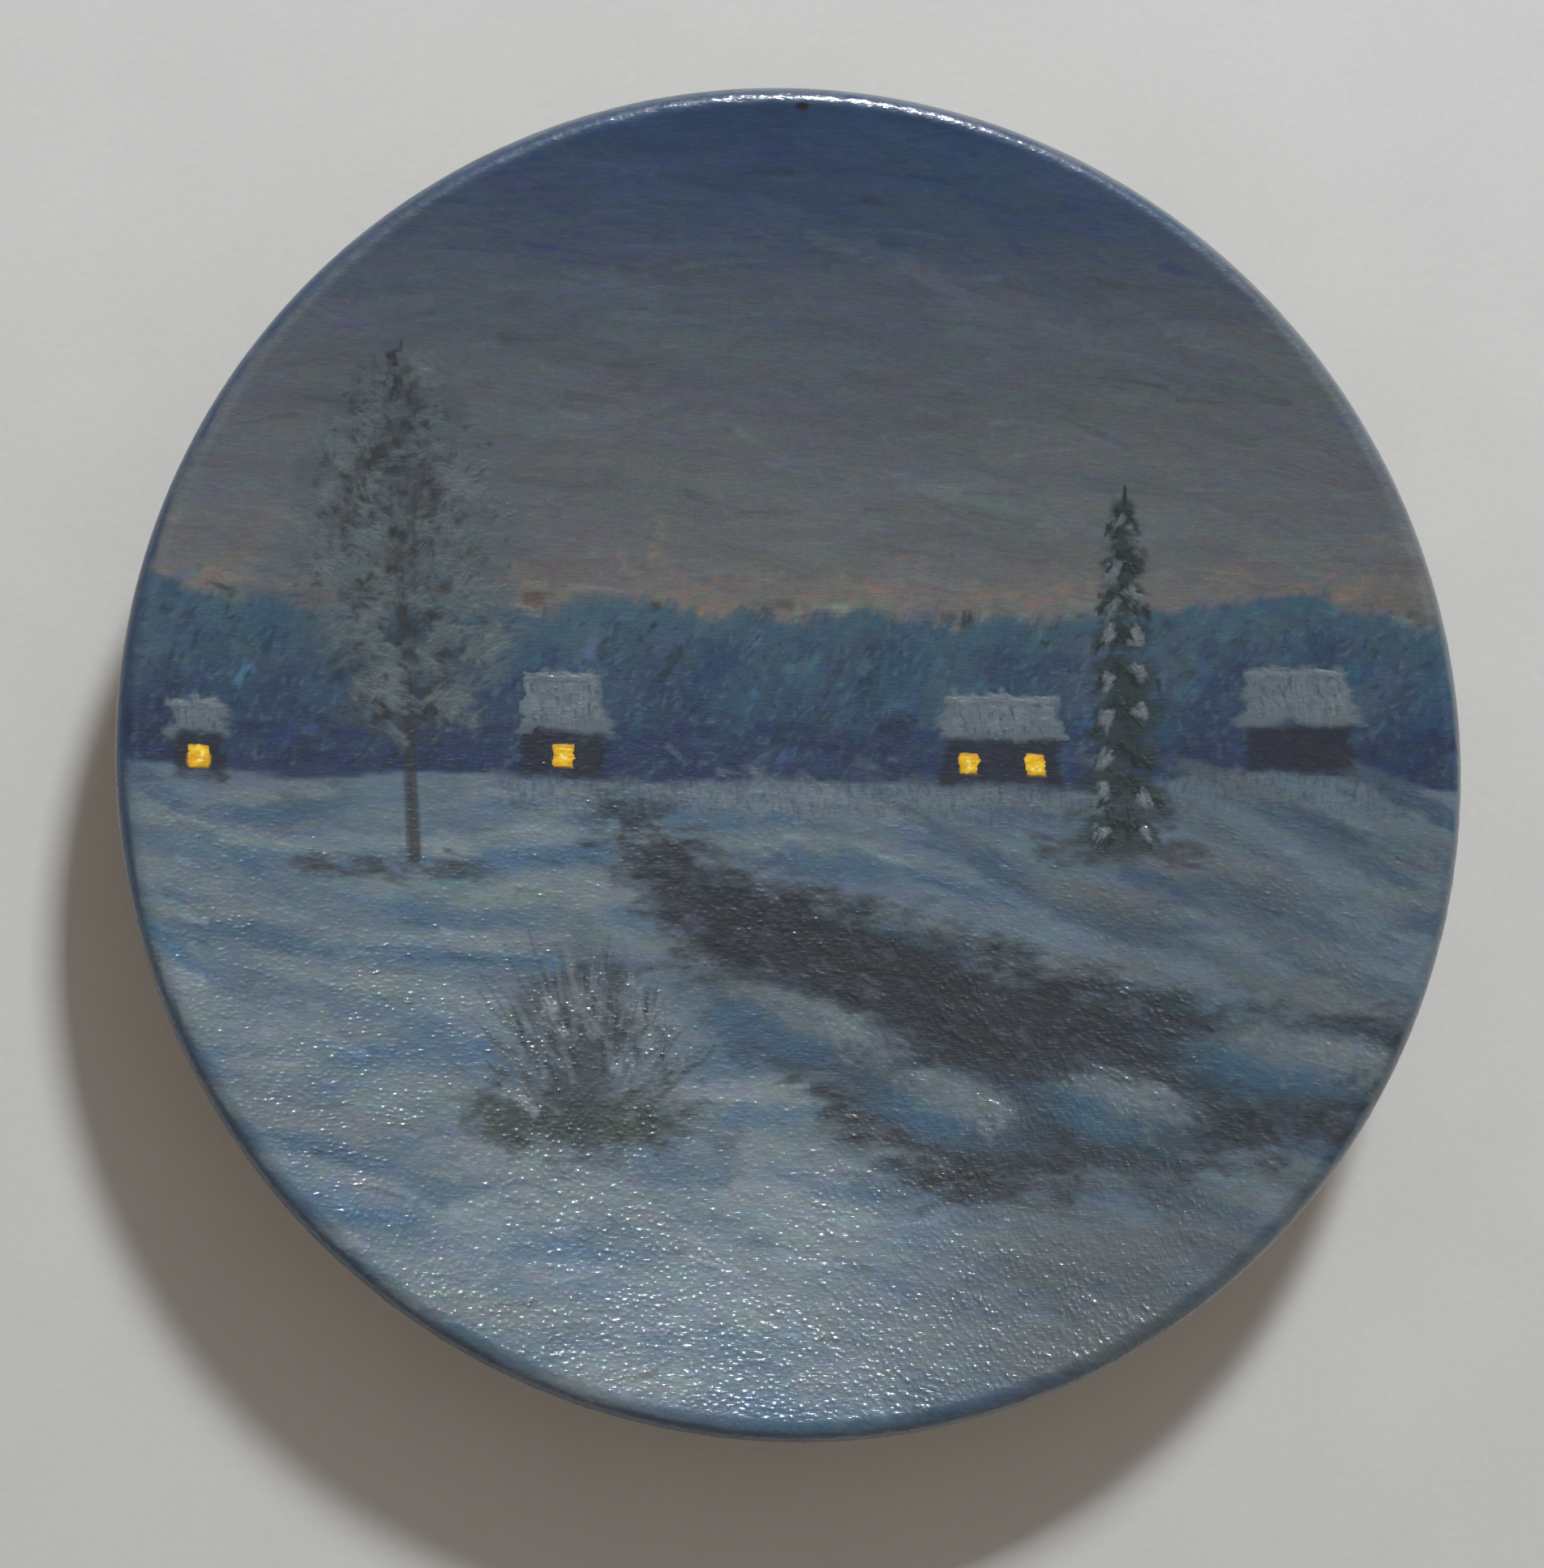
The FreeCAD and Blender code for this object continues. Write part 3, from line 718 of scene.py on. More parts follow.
def face_grid(count, radius):
    """A square grid laid over a disc (Shirley and Chiu's map), and the point numbers round its
    edge, counter-clockwise from +X: as even as a square grid, with no crowding at the middle."""
    side = np.linspace(-1, 1, count)
    a, b = np.meshgrid(side, side)
    wide = np.abs(a) > np.abs(b)
    reach = np.where(wide, a, b)
    safe = np.where(reach == 0, 1, reach)
    turn = np.where(wide, math.pi / 4 * b / safe, math.pi / 2 - math.pi / 4 * a / safe)
    number = np.arange(count * count).reshape(count, count)
    half = count // 2
    loop = [number[half:-1, -1], number[-1, :0:-1], number[:0:-1, 0], number[0, :-1], number[:half, -1]]
    corners = number[:-1, :-1], number[:-1, 1:], number[1:, 1:], number[1:, :-1]
    quads = np.column_stack([corner.ravel() for corner in corners])
    return radius * reach * np.cos(turn), radius * reach * np.sin(turn), quads, np.concatenate(loop)


def make_film(film):
    """The painted picture: one thin closed skin over the face and the rim, with its relief."""
    count, outer_rings, feather = 1001, 52, 0.5
    x, y, quads, loop = face_grid(count, PAINTED.face_reach)
    turns = np.linspace(0, 2 * math.pi, len(loop), endpoint=False)
    x, y = x.ravel(), y.ravel()
    points = [on_dish(PAINTED, x, y, film.relief(x, y))]
    colours = [film.sample(film.colour, x, y)]
    beneath = tone(120, 116, 108)
    rim_end = PAINTED.face_reach + PAINTED.rim_length
    edge = rim_end + paint_end(turns)
    for share in np.arange(1, outer_rings + 1) / outer_rings:
        reach = PAINTED.face_reach + share * (edge - PAINTED.face_reach)
        rx, ry = ring_places(reach, turns)
        points.append(on_dish(PAINTED, rx, ry, film.relief(rx, ry) - feathering(edge - reach, feather)))
        colours.append(film.sample(film.colour, rx, ry))
    inner_edge = GROUNDED.face_reach + GROUNDED.rim_length + (edge - rim_end)
    back = np.linspace(1, 0, 12)[:, None] * (inner_edge - GROUNDED.face_reach) + GROUNDED.face_reach
    inwards = np.linspace(0.8, 0.2, 4)[:, None] * np.full(len(loop), GROUNDED.face_reach)
    for reach in np.concatenate([back, inwards]):
        rx, ry = ring_places(reach, turns)
        points.append(on_dish(GROUNDED, rx, ry, np.zeros(len(loop))))
        colours.append(np.tile(beneath, (len(loop), 1)))
    points.append(centre_point(GROUNDED))
    colours.append(beneath[None])
    rings = [loop] + [count * count + len(loop) * n + np.arange(len(loop)) for n in range(len(points) - 2)]
    faces = [quads] + [ring_quads(inner, outer) for inner, outer in zip(rings, rings[1:])]
    last, middle = rings[-1], count * count + len(loop) * (len(rings) - 1)
    fan = np.column_stack([last, np.full(len(loop), middle), np.roll(last, -1)])
    return make_piece("painted_picture", np.concatenate(points), np.concatenate(faces), fan,
                      np.concatenate(colours), "paint_film")


def lathe(name, rings, centre_top, centre_bottom, colour, node):
    """A closed turning: rings of points from its top middle outwards, round and back underneath."""
    count = len(rings[0])
    points = np.concatenate([*rings, centre_top[None], centre_bottom[None]])
    numbers = np.arange(len(rings) * count).reshape(len(rings), count)
    quads = np.concatenate([ring_quads(a, b) for a, b in zip(numbers, numbers[1:])])
    top, bottom = len(points) - 2, len(points) - 1
    first, last = numbers[0], numbers[-1]
    fans = [np.column_stack([np.full(count, top), first, np.roll(first, -1)]),
            np.column_stack([last, np.full(count, bottom), np.roll(last, -1)])]
    colours = np.tile(colour, (len(points), 1))
    return make_piece(name, points, quads, np.concatenate(fans), colours, node)


def make_ground():
    """The pale ground coat, which shows as an uneven line where the paint runs out."""
    turns = np.linspace(0, 2 * math.pi, 1440, endpoint=False)
    beyond = paint_end(turns) + brushed_edge(turns, 82, 0.15, 0.9)
    feather, roughness, inside = 0.4, 0.012, np.linspace(0.1, 0.9, 6)
    rings = []
    for section, strip_shares in ((GROUNDED, np.linspace(0, 1, 40)), (WOODEN, np.linspace(1, 0, 12))):
        outer = section is GROUNDED
        end = section.face_reach + section.rim_length + beyond
        face_shares = inside if outer else inside[::-1]
        face = [np.full(len(turns), section.face_reach * share) for share in face_shares]
        strip = [section.face_reach + share * (end - section.face_reach) for share in strip_shares]
        for reach in (face + strip if outer else strip + face):
            x, y = ring_places(reach, turns)
            height = np.zeros(len(turns))
            if outer:
                height = roughness * noise(x, y, 0.8, seed=83, octaves=3) * (reach > section.face_reach)
                height = height - feathering(end - reach, feather)
            rings.append(on_dish(section, x, y, height))
    return lathe("ground_coat_skin", rings, centre_point(GROUNDED)[0], centre_point(WOODEN)[0],
                 (0.62, 0.57, 0.48), "ground_coat")


def rounded(corners, radius, steps=6):
    """A broken line with each inner corner rounded."""
    path = [np.array(corners[0], float)]
    for before, corner, after in zip(corners, corners[1:], corners[2:]):
        corner = np.array(corner, float)
        back, forth = np.array(before) - corner, np.array(after) - corner
        back, forth = back / np.hypot(*back), forth / np.hypot(*forth)
        half = math.acos(np.clip(back @ forth, -1, 1)) / 2
        gap = radius / math.tan(half)
        middle = corner + (back + forth) / np.hypot(*(back + forth)) * radius / math.sin(half)
        start, end = corner + back * gap - middle, corner + forth * gap - middle
        for share in np.linspace(0, 1, steps):
            way = start * (1 - share) + end * share
            path.append(middle + way / np.hypot(*way) * radius)
    path.append(np.array(corners[-1], float))
    return path


def spaced(path, step):
    """The same broken line with a point at least every step mm."""
    result = [path[0]]
    for start, end in zip(path, path[1:]):
        count = max(1, int(math.ceil(math.dist(start, end) / step)))
        result += [start + (end - start) * n / count for n in range(1, count + 1)]
    return result


def make_wood():
    """The turning itself: bare underside with fine tool marks, foot ring, recess, centre mark."""
    turns = np.linspace(0, 2 * math.pi, 960, endpoint=False)
    foot_reach = WOODEN.face_reach + WOODEN.rim_length + WOODEN.under_radius * (
        WOODEN.outer_angle + math.acos(FOOT_RADIUS / WOODEN.under_radius))
    shown = WOODEN.face_reach + WOODEN.rim_length - 0.5
    hidden = np.concatenate([np.linspace(0.08, 1, 10) * WOODEN.face_reach,
                             np.linspace(WOODEN.face_reach, shown, 14)[1:]])
    profile = [WOODEN.at(reach)[:2] for reach in hidden]
    pitch, edge_round, mark_radius, mark_depth = 0.13, 0.22, 0.55, 0.3
    under = [WOODEN.at(reach)[:2] for reach in np.arange(shown + 0.1, foot_reach - 0.3, pitch)]
    shoulder = WOODEN.at(foot_reach)[:2]
    corners = [under[-1], shoulder, (FOOT_RADIUS, 0.0), (RECESS_RADIUS, 0.0), (RECESS_RADIUS, RECESS_DEPTH),
               (mark_radius, RECESS_DEPTH), (0.04, RECESS_DEPTH + mark_depth)]
    below = spaced(rounded(corners, edge_round), pitch)
    profile = np.array(profile + under + below[1:])
    way = np.concatenate([[0], np.cumsum(np.hypot(*np.diff(profile, axis=0).T))])
    first = len(hidden)
    feed = 0.62
    marks = noise(way, np.zeros_like(way), 0.55, seed=91, octaves=2) * 0.010
    marks = marks + 0.006 * np.sin(way * 2 * math.pi / feed)
    marks = marks * (np.arange(len(way)) >= first) * (profile[:, 0] > mark_radius + 0.2)
    tangent = np.gradient(profile, axis=0)
    tangent /= np.maximum(np.hypot(*tangent.T), 1e-9)[:, None]
    normal = np.column_stack([-tangent[:, 1], tangent[:, 0]])
    rings = []
    for (distance, level), mark, lean in zip(profile, marks, normal):
        x, y = ring_places(distance, turns)
        cut = 0.0 if level < 0.02 else mark * (1 + 0.5 * noise(x, y, 6, seed=92, octaves=2))
        x, y = ring_places(distance + lean[0] * cut, turns)
        rings.append(np.column_stack([x, y, np.full(len(x), level) + lean[1] * cut]))
    top = np.array([0, 0, float(WOODEN.at(0.0)[1])])
    bottom = np.array([0, 0, RECESS_DEPTH + mark_depth])
    return lathe("turned_wood", rings, top, bottom, (0.55, 0.36, 0.19), "wood_plate")


def make_raised(layer, film, name, node):
    """A motif's thick paint as real relief: it stands on the picture, sinks into it round every
    stroke's edge and is closed inside the film."""
    tallest, sunk, embedded = 0.07, 0.010, 0.08
    proud = tallest * np.tanh(layer.height / tallest) - sunk
    keep = proud > -0.8 * sunk
    cells = keep[:-1, :-1] | keep[:-1, 1:] | keep[1:, :-1] | keep[1:, 1:]
    used = np.zeros(keep.shape, bool)
    for i in (slice(None, -1), slice(1, None)):
        for j in (slice(None, -1), slice(1, None)):
            used[i, j] |= cells
    numbers = np.full(keep.shape, -1)
    count = int(used.sum())
    numbers[used] = np.arange(count)
    px, py = layer.x[used], layer.y[used]
    base = film.relief(px, py)
    upper = on_dish(PAINTED, px, py, base + proud[used])
    lower = on_dish(PAINTED, px, py, np.minimum(base, 0.0) - embedded)
    rows, columns = np.nonzero(cells)
    quads = np.column_stack([numbers[rows, columns], numbers[rows, columns + 1],
                             numbers[rows + 1, columns + 1], numbers[rows + 1, columns]])
    edges = np.concatenate([quads[:, (k, (k + 1) % 4)] for k in range(4)])
    there, back = edges[:, 0] * count + edges[:, 1], edges[:, 1] * count + edges[:, 0]
    border = edges[~np.isin(there, back)]
    walls = np.column_stack([border[:, 0], border[:, 0] + count, border[:, 1] + count, border[:, 1]])
    faces = np.concatenate([quads, quads[:, ::-1] + count, walls])
    colours = layer.colour[used]
    return make_piece(name, np.concatenate([upper, lower]), faces, np.empty((0, 3), int),
                      np.concatenate([colours, colours]), node)


# ---------------------------------------------------------------- raised motifs


def motif(film, node, margin=2.5, cell=0.06):
    """A fresh layer round a CAD node's box, which starts from the picture's own colours."""
    low, high = (np.array(corner)[:2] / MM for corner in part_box(node))
    layer = Layer(low - margin, high + margin, cell, film.grain)
    layer.colour = film.sample(film.colour, layer.x, layer.y)
    return layer


def raise_windows(film):
    """Lit windows: one uneven patch of yellow over each window's bars, palest where it is thickest."""
    warm = [tone(222, 176, 38), tone(206, 152, 34), tone(226, 186, 52)]
    pale = [tone(240, 224, 150)]
    layer = motif(film, "raised_windows", 1.0, 0.05)
    bars, bars_in_window = boxes_of("raised_windows"), 3
    for first in range(0, len(bars), bars_in_window):
        lows, highs = zip(*bars[first:first + bars_in_window])
        low, high = np.min(lows, axis=0), np.max(highs, axis=0)
        layer.area(rectangle(low, high), tone(204, 156, 36), 0.96, soft=0.14, rough=0.16, body=0.030)
        layer.strew(26, low + 0.25, high - 0.25, warm, 0.8, 0.34, 8, spread=16, dry=0.2, strength=0.8,
                    body=0.012, soft=0.6)
        layer.strew(3, low + 0.4, high - 0.4, pale, 0.3, 0.2, 10, spread=30, dry=0.1, strength=0.7,
                    body=0.02)
    return layer


def raise_roofs(film):
    """Snow on the roofs: a thin sheet each, scrubbed over with a dry brush down the slope."""
    snow = [tone(100, 109, 112), tone(108, 116, 118), tone(92, 102, 106)]
    gap = [tone(66, 74, 82)]
    layer = motif(film, "raised_roof_snow", 1.5)
    slope, inset = -82, 0.12
    for low, high in boxes_of("raised_roof_snow"):
        size = high - low
        ridge_left, ridge_right = low + (inset * size[0], size[1]), high - (inset * size[0], 0.0)
        outline = [low, (high[0], low[1]), ridge_right, ridge_left]
        layer.area(outline, snow[0], 0.8, soft=0.5, rough=0.7, body=0.022)
        inside = low + inset * size, high - inset * size
        layer.strew(int(2.6 * size.prod()), *inside, snow, 2.0, 0.75, slope, spread=9, dry=0.5, strength=0.7,
                    body=0.012, soft=0.5)
        layer.strew(int(0.9 * size.prod()), *inside, gap, 1.0, 0.22, slope, spread=12, dry=0.42,
                    strength=0.55)
        layer.along(int(5 * size[0]), ridge_left, ridge_right, 0.12, snow, 1.6, 0.4, 0, dry=0.4,
                    strength=0.6, body=0.02)
    return layer


def raise_tree(film):
    """The tall frosted tree: a soft mass of shade and frost that the sky shows through."""
    dark = [tone(58, 60, 60), tone(51, 51, 52), tone(64, 62, 60)]
    frost = [tone(88, 97, 98), tone(82, 92, 96), tone(97, 105, 104)]
    haze = tone(70, 79, 83)
    layer = motif(film, "raised_tree", 3.0)
    root = foot_of("raised_tree")
    solids = solids_of("raised_tree")
    trunk = max(solids, key=lambda solid: np.ptp(solid[:, 1]))
    foot, top = spine(trunk, root)
    boughs = []
    for solid in solids:
        if solid is not trunk:
            height = solid[:, 1].mean()
            stem = foot + (top - foot) * (height - foot[1]) / (top[1] - foot[1])
            boughs.append(spine(solid, stem))
    for start, end in boughs:
        reach = math.dist(start, end)
        scatter = 0.16 * reach + 0.25
        for share in (0.1, 0.5, 0.9):
            x, y = start + (end - start) * share
            layer.patch(x, y, 0.24 * reach + 0.5, 1.3, 35, haze, random.uniform(0.1, 0.5), soft=1.4,
                        rough=0.9)
        inner_end = start + 0.55 * (end - start)
        layer.along(int(8 * reach), start, inner_end, scatter, dark, 1.4, 0.8, 75, spread=45, dry=0.4,
                    strength=random.uniform(0.25, 0.6), body=0.008, soft=0.9)
    for share in (0.55, 0.8, 1.0):
        drift = random.normal(0, 0.15, 2)
        layer.stroke(foot + drift, foot + (top - foot) * share + drift, 1.4 * (1.1 - 0.6 * share),
                     dark[random.integers(3)], dry=0.34, strength=0.5, body=0.02, taper=0.9, soft=0.6)
    for start, end in boughs:
        away = math.degrees(math.atan2(*(end - start)[::-1]))
        reach = math.dist(start, end)
        scatter = 0.13 * reach + 0.2
        for _ in range(2 + int(1.6 * reach)):
            middle = start + (end - start) * (0.25 + 0.85 * random.random()) + random.normal(0, scatter, 2)
            colour = [frost[random.integers(3)]]
            layer.along(int(3 + reach), middle, middle + (0.8, 0.8), 0.42, colour, 2.1, 0.5,
                        away + 25 * random.normal(), spread=12, dry=0.48, strength=0.5, body=0.015, soft=0.6)
        layer.along(int(1.6 * reach), start, end, scatter, dark, 0.6, 0.34, 80, spread=50, dry=0.34,
                    strength=0.5, body=0.02, soft=0.6)
    layer.along(30, top - (0, 3), top + (0, 0.6), 0.3, dark, 0.9, 0.4, 85, spread=25, dry=0.36,
                strength=0.55, body=0.02, soft=0.6)
    return layer


def raise_spruce(film):
    """The narrow spruce: hanging dark boughs tier under tier, with lumps of snow lying on them."""
    dark = [tone(50, 56, 54), tone(58, 65, 63), tone(45, 49, 49)]
    snow = [tone(102, 110, 112), tone(112, 119, 121), tone(92, 101, 104)]
    layer = motif(film, "raised_spruce", 2.0, 0.05)
    tiers = sorted(boxes_of("raised_spruce"), key=lambda tier: -tier[0][1])
    crown = np.array([tiers[0][0][0] + tiers[0][1][0], 2 * tiers[0][1][1]]) / 2
    layer.stroke(crown - (0, 2.0), crown + (0, 1.6), 0.7, dark[2], dry=0.1, strength=0.9, body=0.03,
                 taper=0.9)
    for low, high in tiers:
        middle, half = (low + high) / 2, (high - low) / 2
        breadth = 1.25 * half[0]
        layer.patch(*middle, breadth, 1.35 * half[1], 0, tone(56, 63, 62), 0.88, soft=0.8, rough=0.6)
        for side in (-1, 1):
            tip = middle + (side * breadth * random.uniform(0.6, 1.1), -0.8 * half[1])
            layer.along(22, middle + (0, 0.6 * half[1]), tip, 0.35, dark, 1.1, 0.42, -90 + 30 * side,
                        spread=18, dry=0.32, strength=0.6, body=0.02, soft=0.6)
        for side in (-1, 1):
            if random.random() < 0.85:
                shelf = middle + (0.5 * breadth * side, random.uniform(-0.5, 0.5) * half[1])
                count, lip = int(random.uniform(8, 24)), shelf + (0.3 * side, -0.9)
                layer.along(count, shelf, lip, 0.22, snow, 0.9, 0.4, -90 + 32 * side, spread=16, dry=0.34,
                            strength=0.55, body=0.03, soft=0.6)
    return layer


def raise_bush(film):
    """The leafless bush: dark twigs, a fan of frosted sweeps and a few thick dabs of frost."""
    dark = [tone(60, 64, 63), tone(52, 54, 54), tone(68, 72, 72)]
    frost = [tone(96, 103, 107), tone(104, 111, 114), tone(86, 94, 98)]
    thick = [tone(112, 119, 122), tone(120, 126, 128)]
    layer = motif(film, "raised_bush", 4.0)
    root = foot_of("raised_bush") - (0, 4)
    twigs = [spine(solid, root) for solid in solids_of("raised_bush")]
    for colours, copies, width, drift, strength in ((dark, 6, 0.6, 0.7, 0.6), (frost, 7, 0.6, 0.8, 0.62)):
        for start, end in twigs:
            for _ in range(copies):
                near, far = random.uniform(0.0, 0.5), random.uniform(0.55, 1.2)
                shift = random.normal(0, drift, 2)
                layer.stroke(start + (end - start) * near + shift, start + (end - start) * far + 1.3 * shift,
                             width * random.uniform(0.5, 1.0), colours[random.integers(3)],
                             bow=0.8 * random.normal(), dry=0.46, strength=strength, body=0.012, soft=0.6)
    for start, end in twigs[1::4]:
        middle = start + (end - start) * random.uniform(0.4, 0.8)
        layer.along(7, start, middle, 0.4, thick, 1.6, 0.6, math.degrees(math.atan2(*(end - start)[::-1])),
                    dry=0.4, strength=0.75, body=0.025, soft=0.5)
    return layer


# ---------------------------------------------------------------- materials


OBJECT_SPACE = 3  # the Texture Coordinate node's output that follows the piece


class Nodes:
    """A material and the short way to add nodes to it. An input is a value or another node's
    output, named by its socket's name or number."""

    def __init__(self, name):
        self.material = bpy.data.materials.new(name)
        self.material.use_nodes = True
        self.tree = self.material.node_tree
        self.shader = self.tree.nodes["Principled BSDF"]

    def add(self, kind, inputs=None, out=0, **settings):
        node = self.tree.nodes.new(f"ShaderNode{kind}")
        for name, value in settings.items():
            setattr(node, name, value)
        self.plug(node, inputs or {})
        return node.outputs[out]

    def plug(self, node, inputs):
        for name, value in inputs.items():
            if isinstance(value, bpy.types.NodeSocket):
                self.tree.links.new(value, node.inputs[name])
            else:
                node.inputs[name].default_value = value

    def finish(self, **inputs):
        self.plug(self.shader, {name.replace("_", " "): value for name, value in inputs.items()})
        return self.material

    def noise(self, scale, stretch=(1, 1, 1), turn=0.0, detail=3.0, rough=0.55):
        """Noise through the piece's own space: scale is in blobs a millimetre."""
        own_space = self.add("TexCoord", out=OBJECT_SPACE)
        place = self.add("Mapping", {"Vector": own_space, "Scale": [scale / MM * s for s in stretch],
                                     "Rotation": (0, 0, math.radians(turn))})
        return self.add("TexNoise", {"Vector": place, "Scale": 1.0, "Detail": detail, "Roughness": rough})

    def spread(self, value, low, high, start=0.3, end=0.7):
        """The value between start and end carried over to low to high."""
        return self.add("MapRange", {"Value": value, "From Min": start, "From Max": end,
                                     "To Min": low, "To Max": high})

    def mix(self, share, first, second, blend="MIX"):
        """Two colours, mixed by share or blended in another way."""
        return self.add("Mix", {0: share, 6: first, 7: second}, out=2, data_type="RGBA", blend_type=blend)

    def math(self, operation, *values):
        return self.add("Math", dict(enumerate(values)), operation=operation)

    def tint(self, colour, *shares):
        """The colour multiplied by grey values."""
        for share in shares:
            colour = self.mix(1.0, colour, share, "MULTIPLY")
        return colour

    def bump(self, *layers):
        """Bumps on top of each other, each a height from 0 to 1 and its size in mm."""
        normal = None
        for height, size in layers:
            inputs = {"Height": height, "Distance": size * MM, "Strength": 1.0}
            if normal is not None:
                inputs["Normal"] = normal
            normal = self.add("Bump", inputs)
        return normal


def paint_material(name, gloss, grain):
    """Varnished brush paint: the raster's colours, with pigment grain, bristle lines and flecks.
    gloss is its middle roughness, and grain how strongly the fine marks stand up."""
    nodes = Nodes(name)
    paint = nodes.add("Attribute", attribute_name="paint")
    pigment = nodes.noise(6.0, detail=4)
    bristle = nodes.noise(3.0, stretch=(0.25, 1.6, 1.0), turn=-6)
    colour = nodes.tint(paint, nodes.spread(pigment, 0.90, 1.10), nodes.spread(bristle, 0.93, 1.07))
    rough = nodes.spread(nodes.noise(1.2), gloss - 0.05, gloss + 0.07)
    fleck = nodes.spread(nodes.noise(4.2, stretch=(0.42, 1.3, 1), turn=-8, detail=1), 0, 1, 0.5, 0.72)
    normal = nodes.bump((bristle, 0.012 * grain), (fleck, 0.006 * grain))
    return nodes.finish(Base_Color=colour, Roughness=rough, Normal=normal, Coat_Normal=normal,
                        Coat_Weight=0.8, Coat_Roughness=0.15)


def ground_material():
    """Chalky ground coat with thin smears of the blue over it."""
    nodes = Nodes("ground_coat")
    chalk = nodes.spread(nodes.noise(2.5, detail=5), 0.86, 1.06)
    smear = nodes.spread(nodes.noise(0.5, stretch=(1, 1, 2)), 0.0, 0.6, 0.5, 0.75)
    colour = nodes.mix(smear, (0.50, 0.46, 0.38, 1), (0.16, 0.20, 0.26, 1))
    normal = nodes.bump((nodes.noise(4.0, detail=4), 0.02))
    return nodes.finish(Base_Color=nodes.tint(colour, chalk), Roughness=0.72, Normal=normal)


def wood_material():
    """Pale close-grained wood, cut flat from the board: growth rings about a pith that runs along
    X some way under the plate, fine fibres along X and tiny pores."""
    nodes = Nodes("turned_wood")
    ring_pitch, pith_aside, pith_depth, waver = 2.6, 9.0, 62.0, 0.0075
    place = nodes.add("TexCoord", out=OBJECT_SPACE)
    warp = nodes.add("TexNoise", {"Vector": nodes.add("Mapping", {"Vector": place, "Scale": (9, 45, 45)}),
                                  "Scale": 1.0, "Detail": 3.0})
    split = nodes.tree.nodes.new("ShaderNodeSeparateXYZ")
    nodes.plug(split, {0: place})
    across = nodes.math("ADD", split.outputs["Y"], pith_aside * MM)
    deep = nodes.math("ADD", split.outputs["Z"], pith_depth * MM)
    squares = [nodes.math("MULTIPLY", side, side) for side in (across, deep)]
    radius = nodes.math("SQRT", nodes.math("ADD", *squares))
    wavy = nodes.math("MULTIPLY_ADD", warp, waver, radius)
    rings = nodes.math("FRACT", nodes.math("MULTIPLY", wavy, 1000 / ring_pitch))
    ramp = nodes.tree.nodes.new("ShaderNodeValToRGB")
    plain, pale, dark = (0.50, 0.33, 0.18), (0.56, 0.39, 0.22), (0.40, 0.24, 0.12)
    stops = ((0.0, plain), (0.55, pale), (0.86, dark), (1.0, plain))
    while len(ramp.color_ramp.elements) < len(stops):
        ramp.color_ramp.elements.new(0.5)
    for element, (at, colour) in zip(ramp.color_ramp.elements, stops):
        element.position = at
        element.color = (*colour, 1)
    nodes.plug(ramp, {0: rings})
    fibre = nodes.noise(3.0, stretch=(0.06, 2.0, 2.0), detail=4)
    pores = nodes.noise(5.0, stretch=(0.12, 1.6, 1.6), detail=1)
    grime = nodes.noise(0.05, detail=4)
    colour = nodes.tint(ramp.outputs[0], nodes.spread(fibre, 0.86, 1.10),
                        nodes.spread(pores, 0.72, 1.0, 0.28, 0.36), nodes.spread(grime, 0.88, 1.06))
    normal = nodes.bump((fibre, 0.02), (pores, 0.015))
    return nodes.finish(Base_Color=colour, Roughness=nodes.spread(fibre, 0.5, 0.68), Normal=normal)


def floor_material():
    """Smooth pale card with the faintest mottle."""
    nodes = Nodes("pale_card")
    mottle = nodes.spread(nodes.noise(0.08, detail=5), 0.975, 1.02)
    card = (0.740, 0.745, 0.745, 1)
    colour = nodes.tint(card, mottle, nodes.spread(nodes.noise(1.5), 0.985, 1.015))
    return nodes.finish(Base_Color=colour, Roughness=0.8, Normal=nodes.bump((nodes.noise(1.2), 0.02)))


# ---------------------------------------------------------------- the scene


def add_floor():
    """The pale surface that the dish stands on."""
    half = 0.9
    mesh = bpy.data.meshes.new("floor")
    corners = [(x, y, 0) for x, y in rectangle((-half, -half), (half, half))]
    mesh.from_pydata(corners, [], [(0, 1, 2, 3)])
    floor = bpy.data.objects.new("floor", mesh)
    bpy.context.scene.collection.objects.link(floor)
    mesh.materials.append(floor_material())


def aim(thing, at, target):
    """Puts a lamp or camera at a point and turns it to the target, with +Y up in its view."""
    back = (Vector(at) - Vector(target)).normalized()
    side = Vector((0, 1, 0)).cross(back).normalized()
    thing.matrix_world = Matrix((side, back.cross(side), back)).transposed().to_4x4()
    thing.location = at


def bearing_point(distance, zenith, bearing):
    """The point at this distance from the origin, zenith angle and bearing in degrees."""
    tilt, turn = math.radians(zenith), math.radians(bearing)
    return (distance * math.sin(tilt) * math.cos(turn), distance * math.sin(tilt) * math.sin(turn),
            distance * math.cos(tilt))


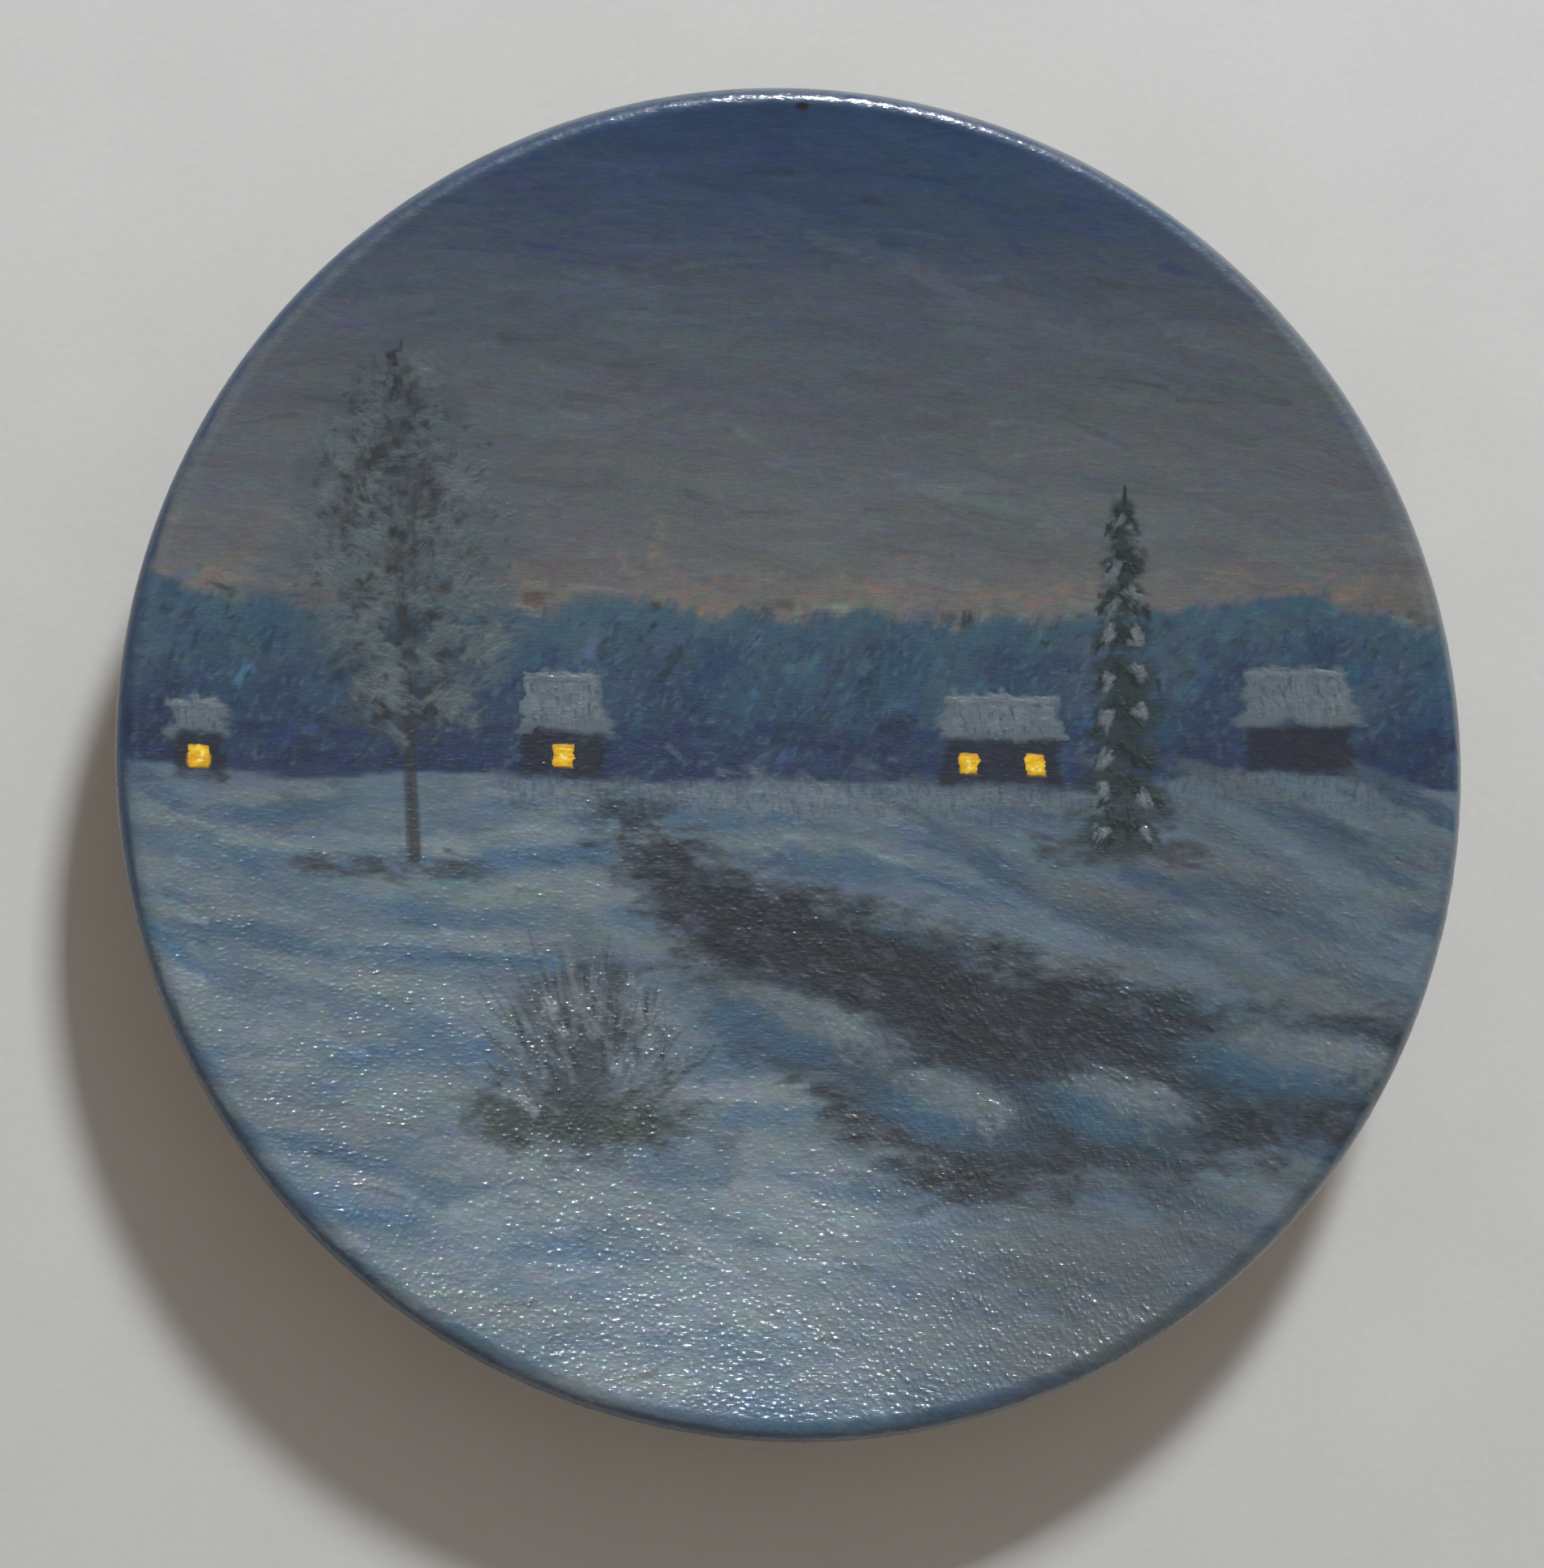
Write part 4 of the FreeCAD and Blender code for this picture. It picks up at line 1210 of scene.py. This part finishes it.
def add_lights():
    """One soft lamp beyond the top of the dish, some 40 degrees up, and an even pale room. The
    lamp's narrow beam makes the floor a little brighter towards the point that it is aimed at."""
    distance, zenith, bearing, brightest = 2.4, 48.8, 74.4, (0.08, 0.35, 0)
    key = bpy.data.lights.new("key", "AREA")
    key.shape = "SQUARE"
    key.size = 0.36
    key.spread = math.radians(30)
    key.energy = 1.75
    key.color = (0.92, 0.97, 1.0)
    lamp = bpy.data.objects.new("key", key)
    bpy.context.scene.collection.objects.link(lamp)
    aim(lamp, bearing_point(distance, zenith, bearing), brightest)
    world = bpy.data.worlds.new("room")
    world.use_nodes = True
    room = world.node_tree.nodes["Background"]
    room.inputs["Color"].default_value = (1.0, 0.89, 0.78, 1)
    room.inputs["Strength"].default_value = 0.26
    bpy.context.scene.world = world
    bpy.context.scene.view_settings.view_transform = "Standard"


def add_camera():
    """Looking almost straight down, from a little towards the lower left of the picture."""
    distance, tilt, bearing = 0.42, 11.0, 215
    view = bpy.data.cameras.new("camera")
    view.sensor_fit = "HORIZONTAL"
    view.angle = math.radians(15.3)
    view.clip_start = 0.01
    camera = bpy.data.objects.new("camera", view)
    bpy.context.scene.collection.objects.link(camera)
    target = (-0.0023, -0.0022, PLATE_HEIGHT * MM)
    away = bearing_point(distance, tilt, bearing)
    aim(camera, tuple(a + b for a, b in zip(target, away)), target)
    bpy.context.scene.camera = camera


def build():
    film = paint_picture()
    motifs = [
        (raise_windows(film), "window_dabs", "window_paint", "raised_windows", 0.40),
        (raise_roofs(film), "roof_snow_dabs", "snow_paint", "raised_roof_snow", 0.42),
        (raise_tree(film), "tree_strokes", "tree_paint", "raised_tree", 0.40),
        (raise_spruce(film), "spruce_strokes", "spruce_paint", "raised_spruce", 0.40),
        (raise_bush(film), "bush_strokes", "bush_paint", "raised_bush", 0.38),
    ]
    for layer, *_ in motifs:
        film.take_over(layer)
    make_wood().data.materials.append(wood_material())
    make_ground().data.materials.append(ground_material())
    make_film(film).data.materials.append(paint_material("picture_paint", 0.42, 1.0))
    for layer, name, slot, node, gloss in motifs:
        piece = make_raised(layer, film, name, node)
        piece.data.materials.append(paint_material(name, gloss, 0.8))


build()
add_floor()
add_lights()
add_camera()
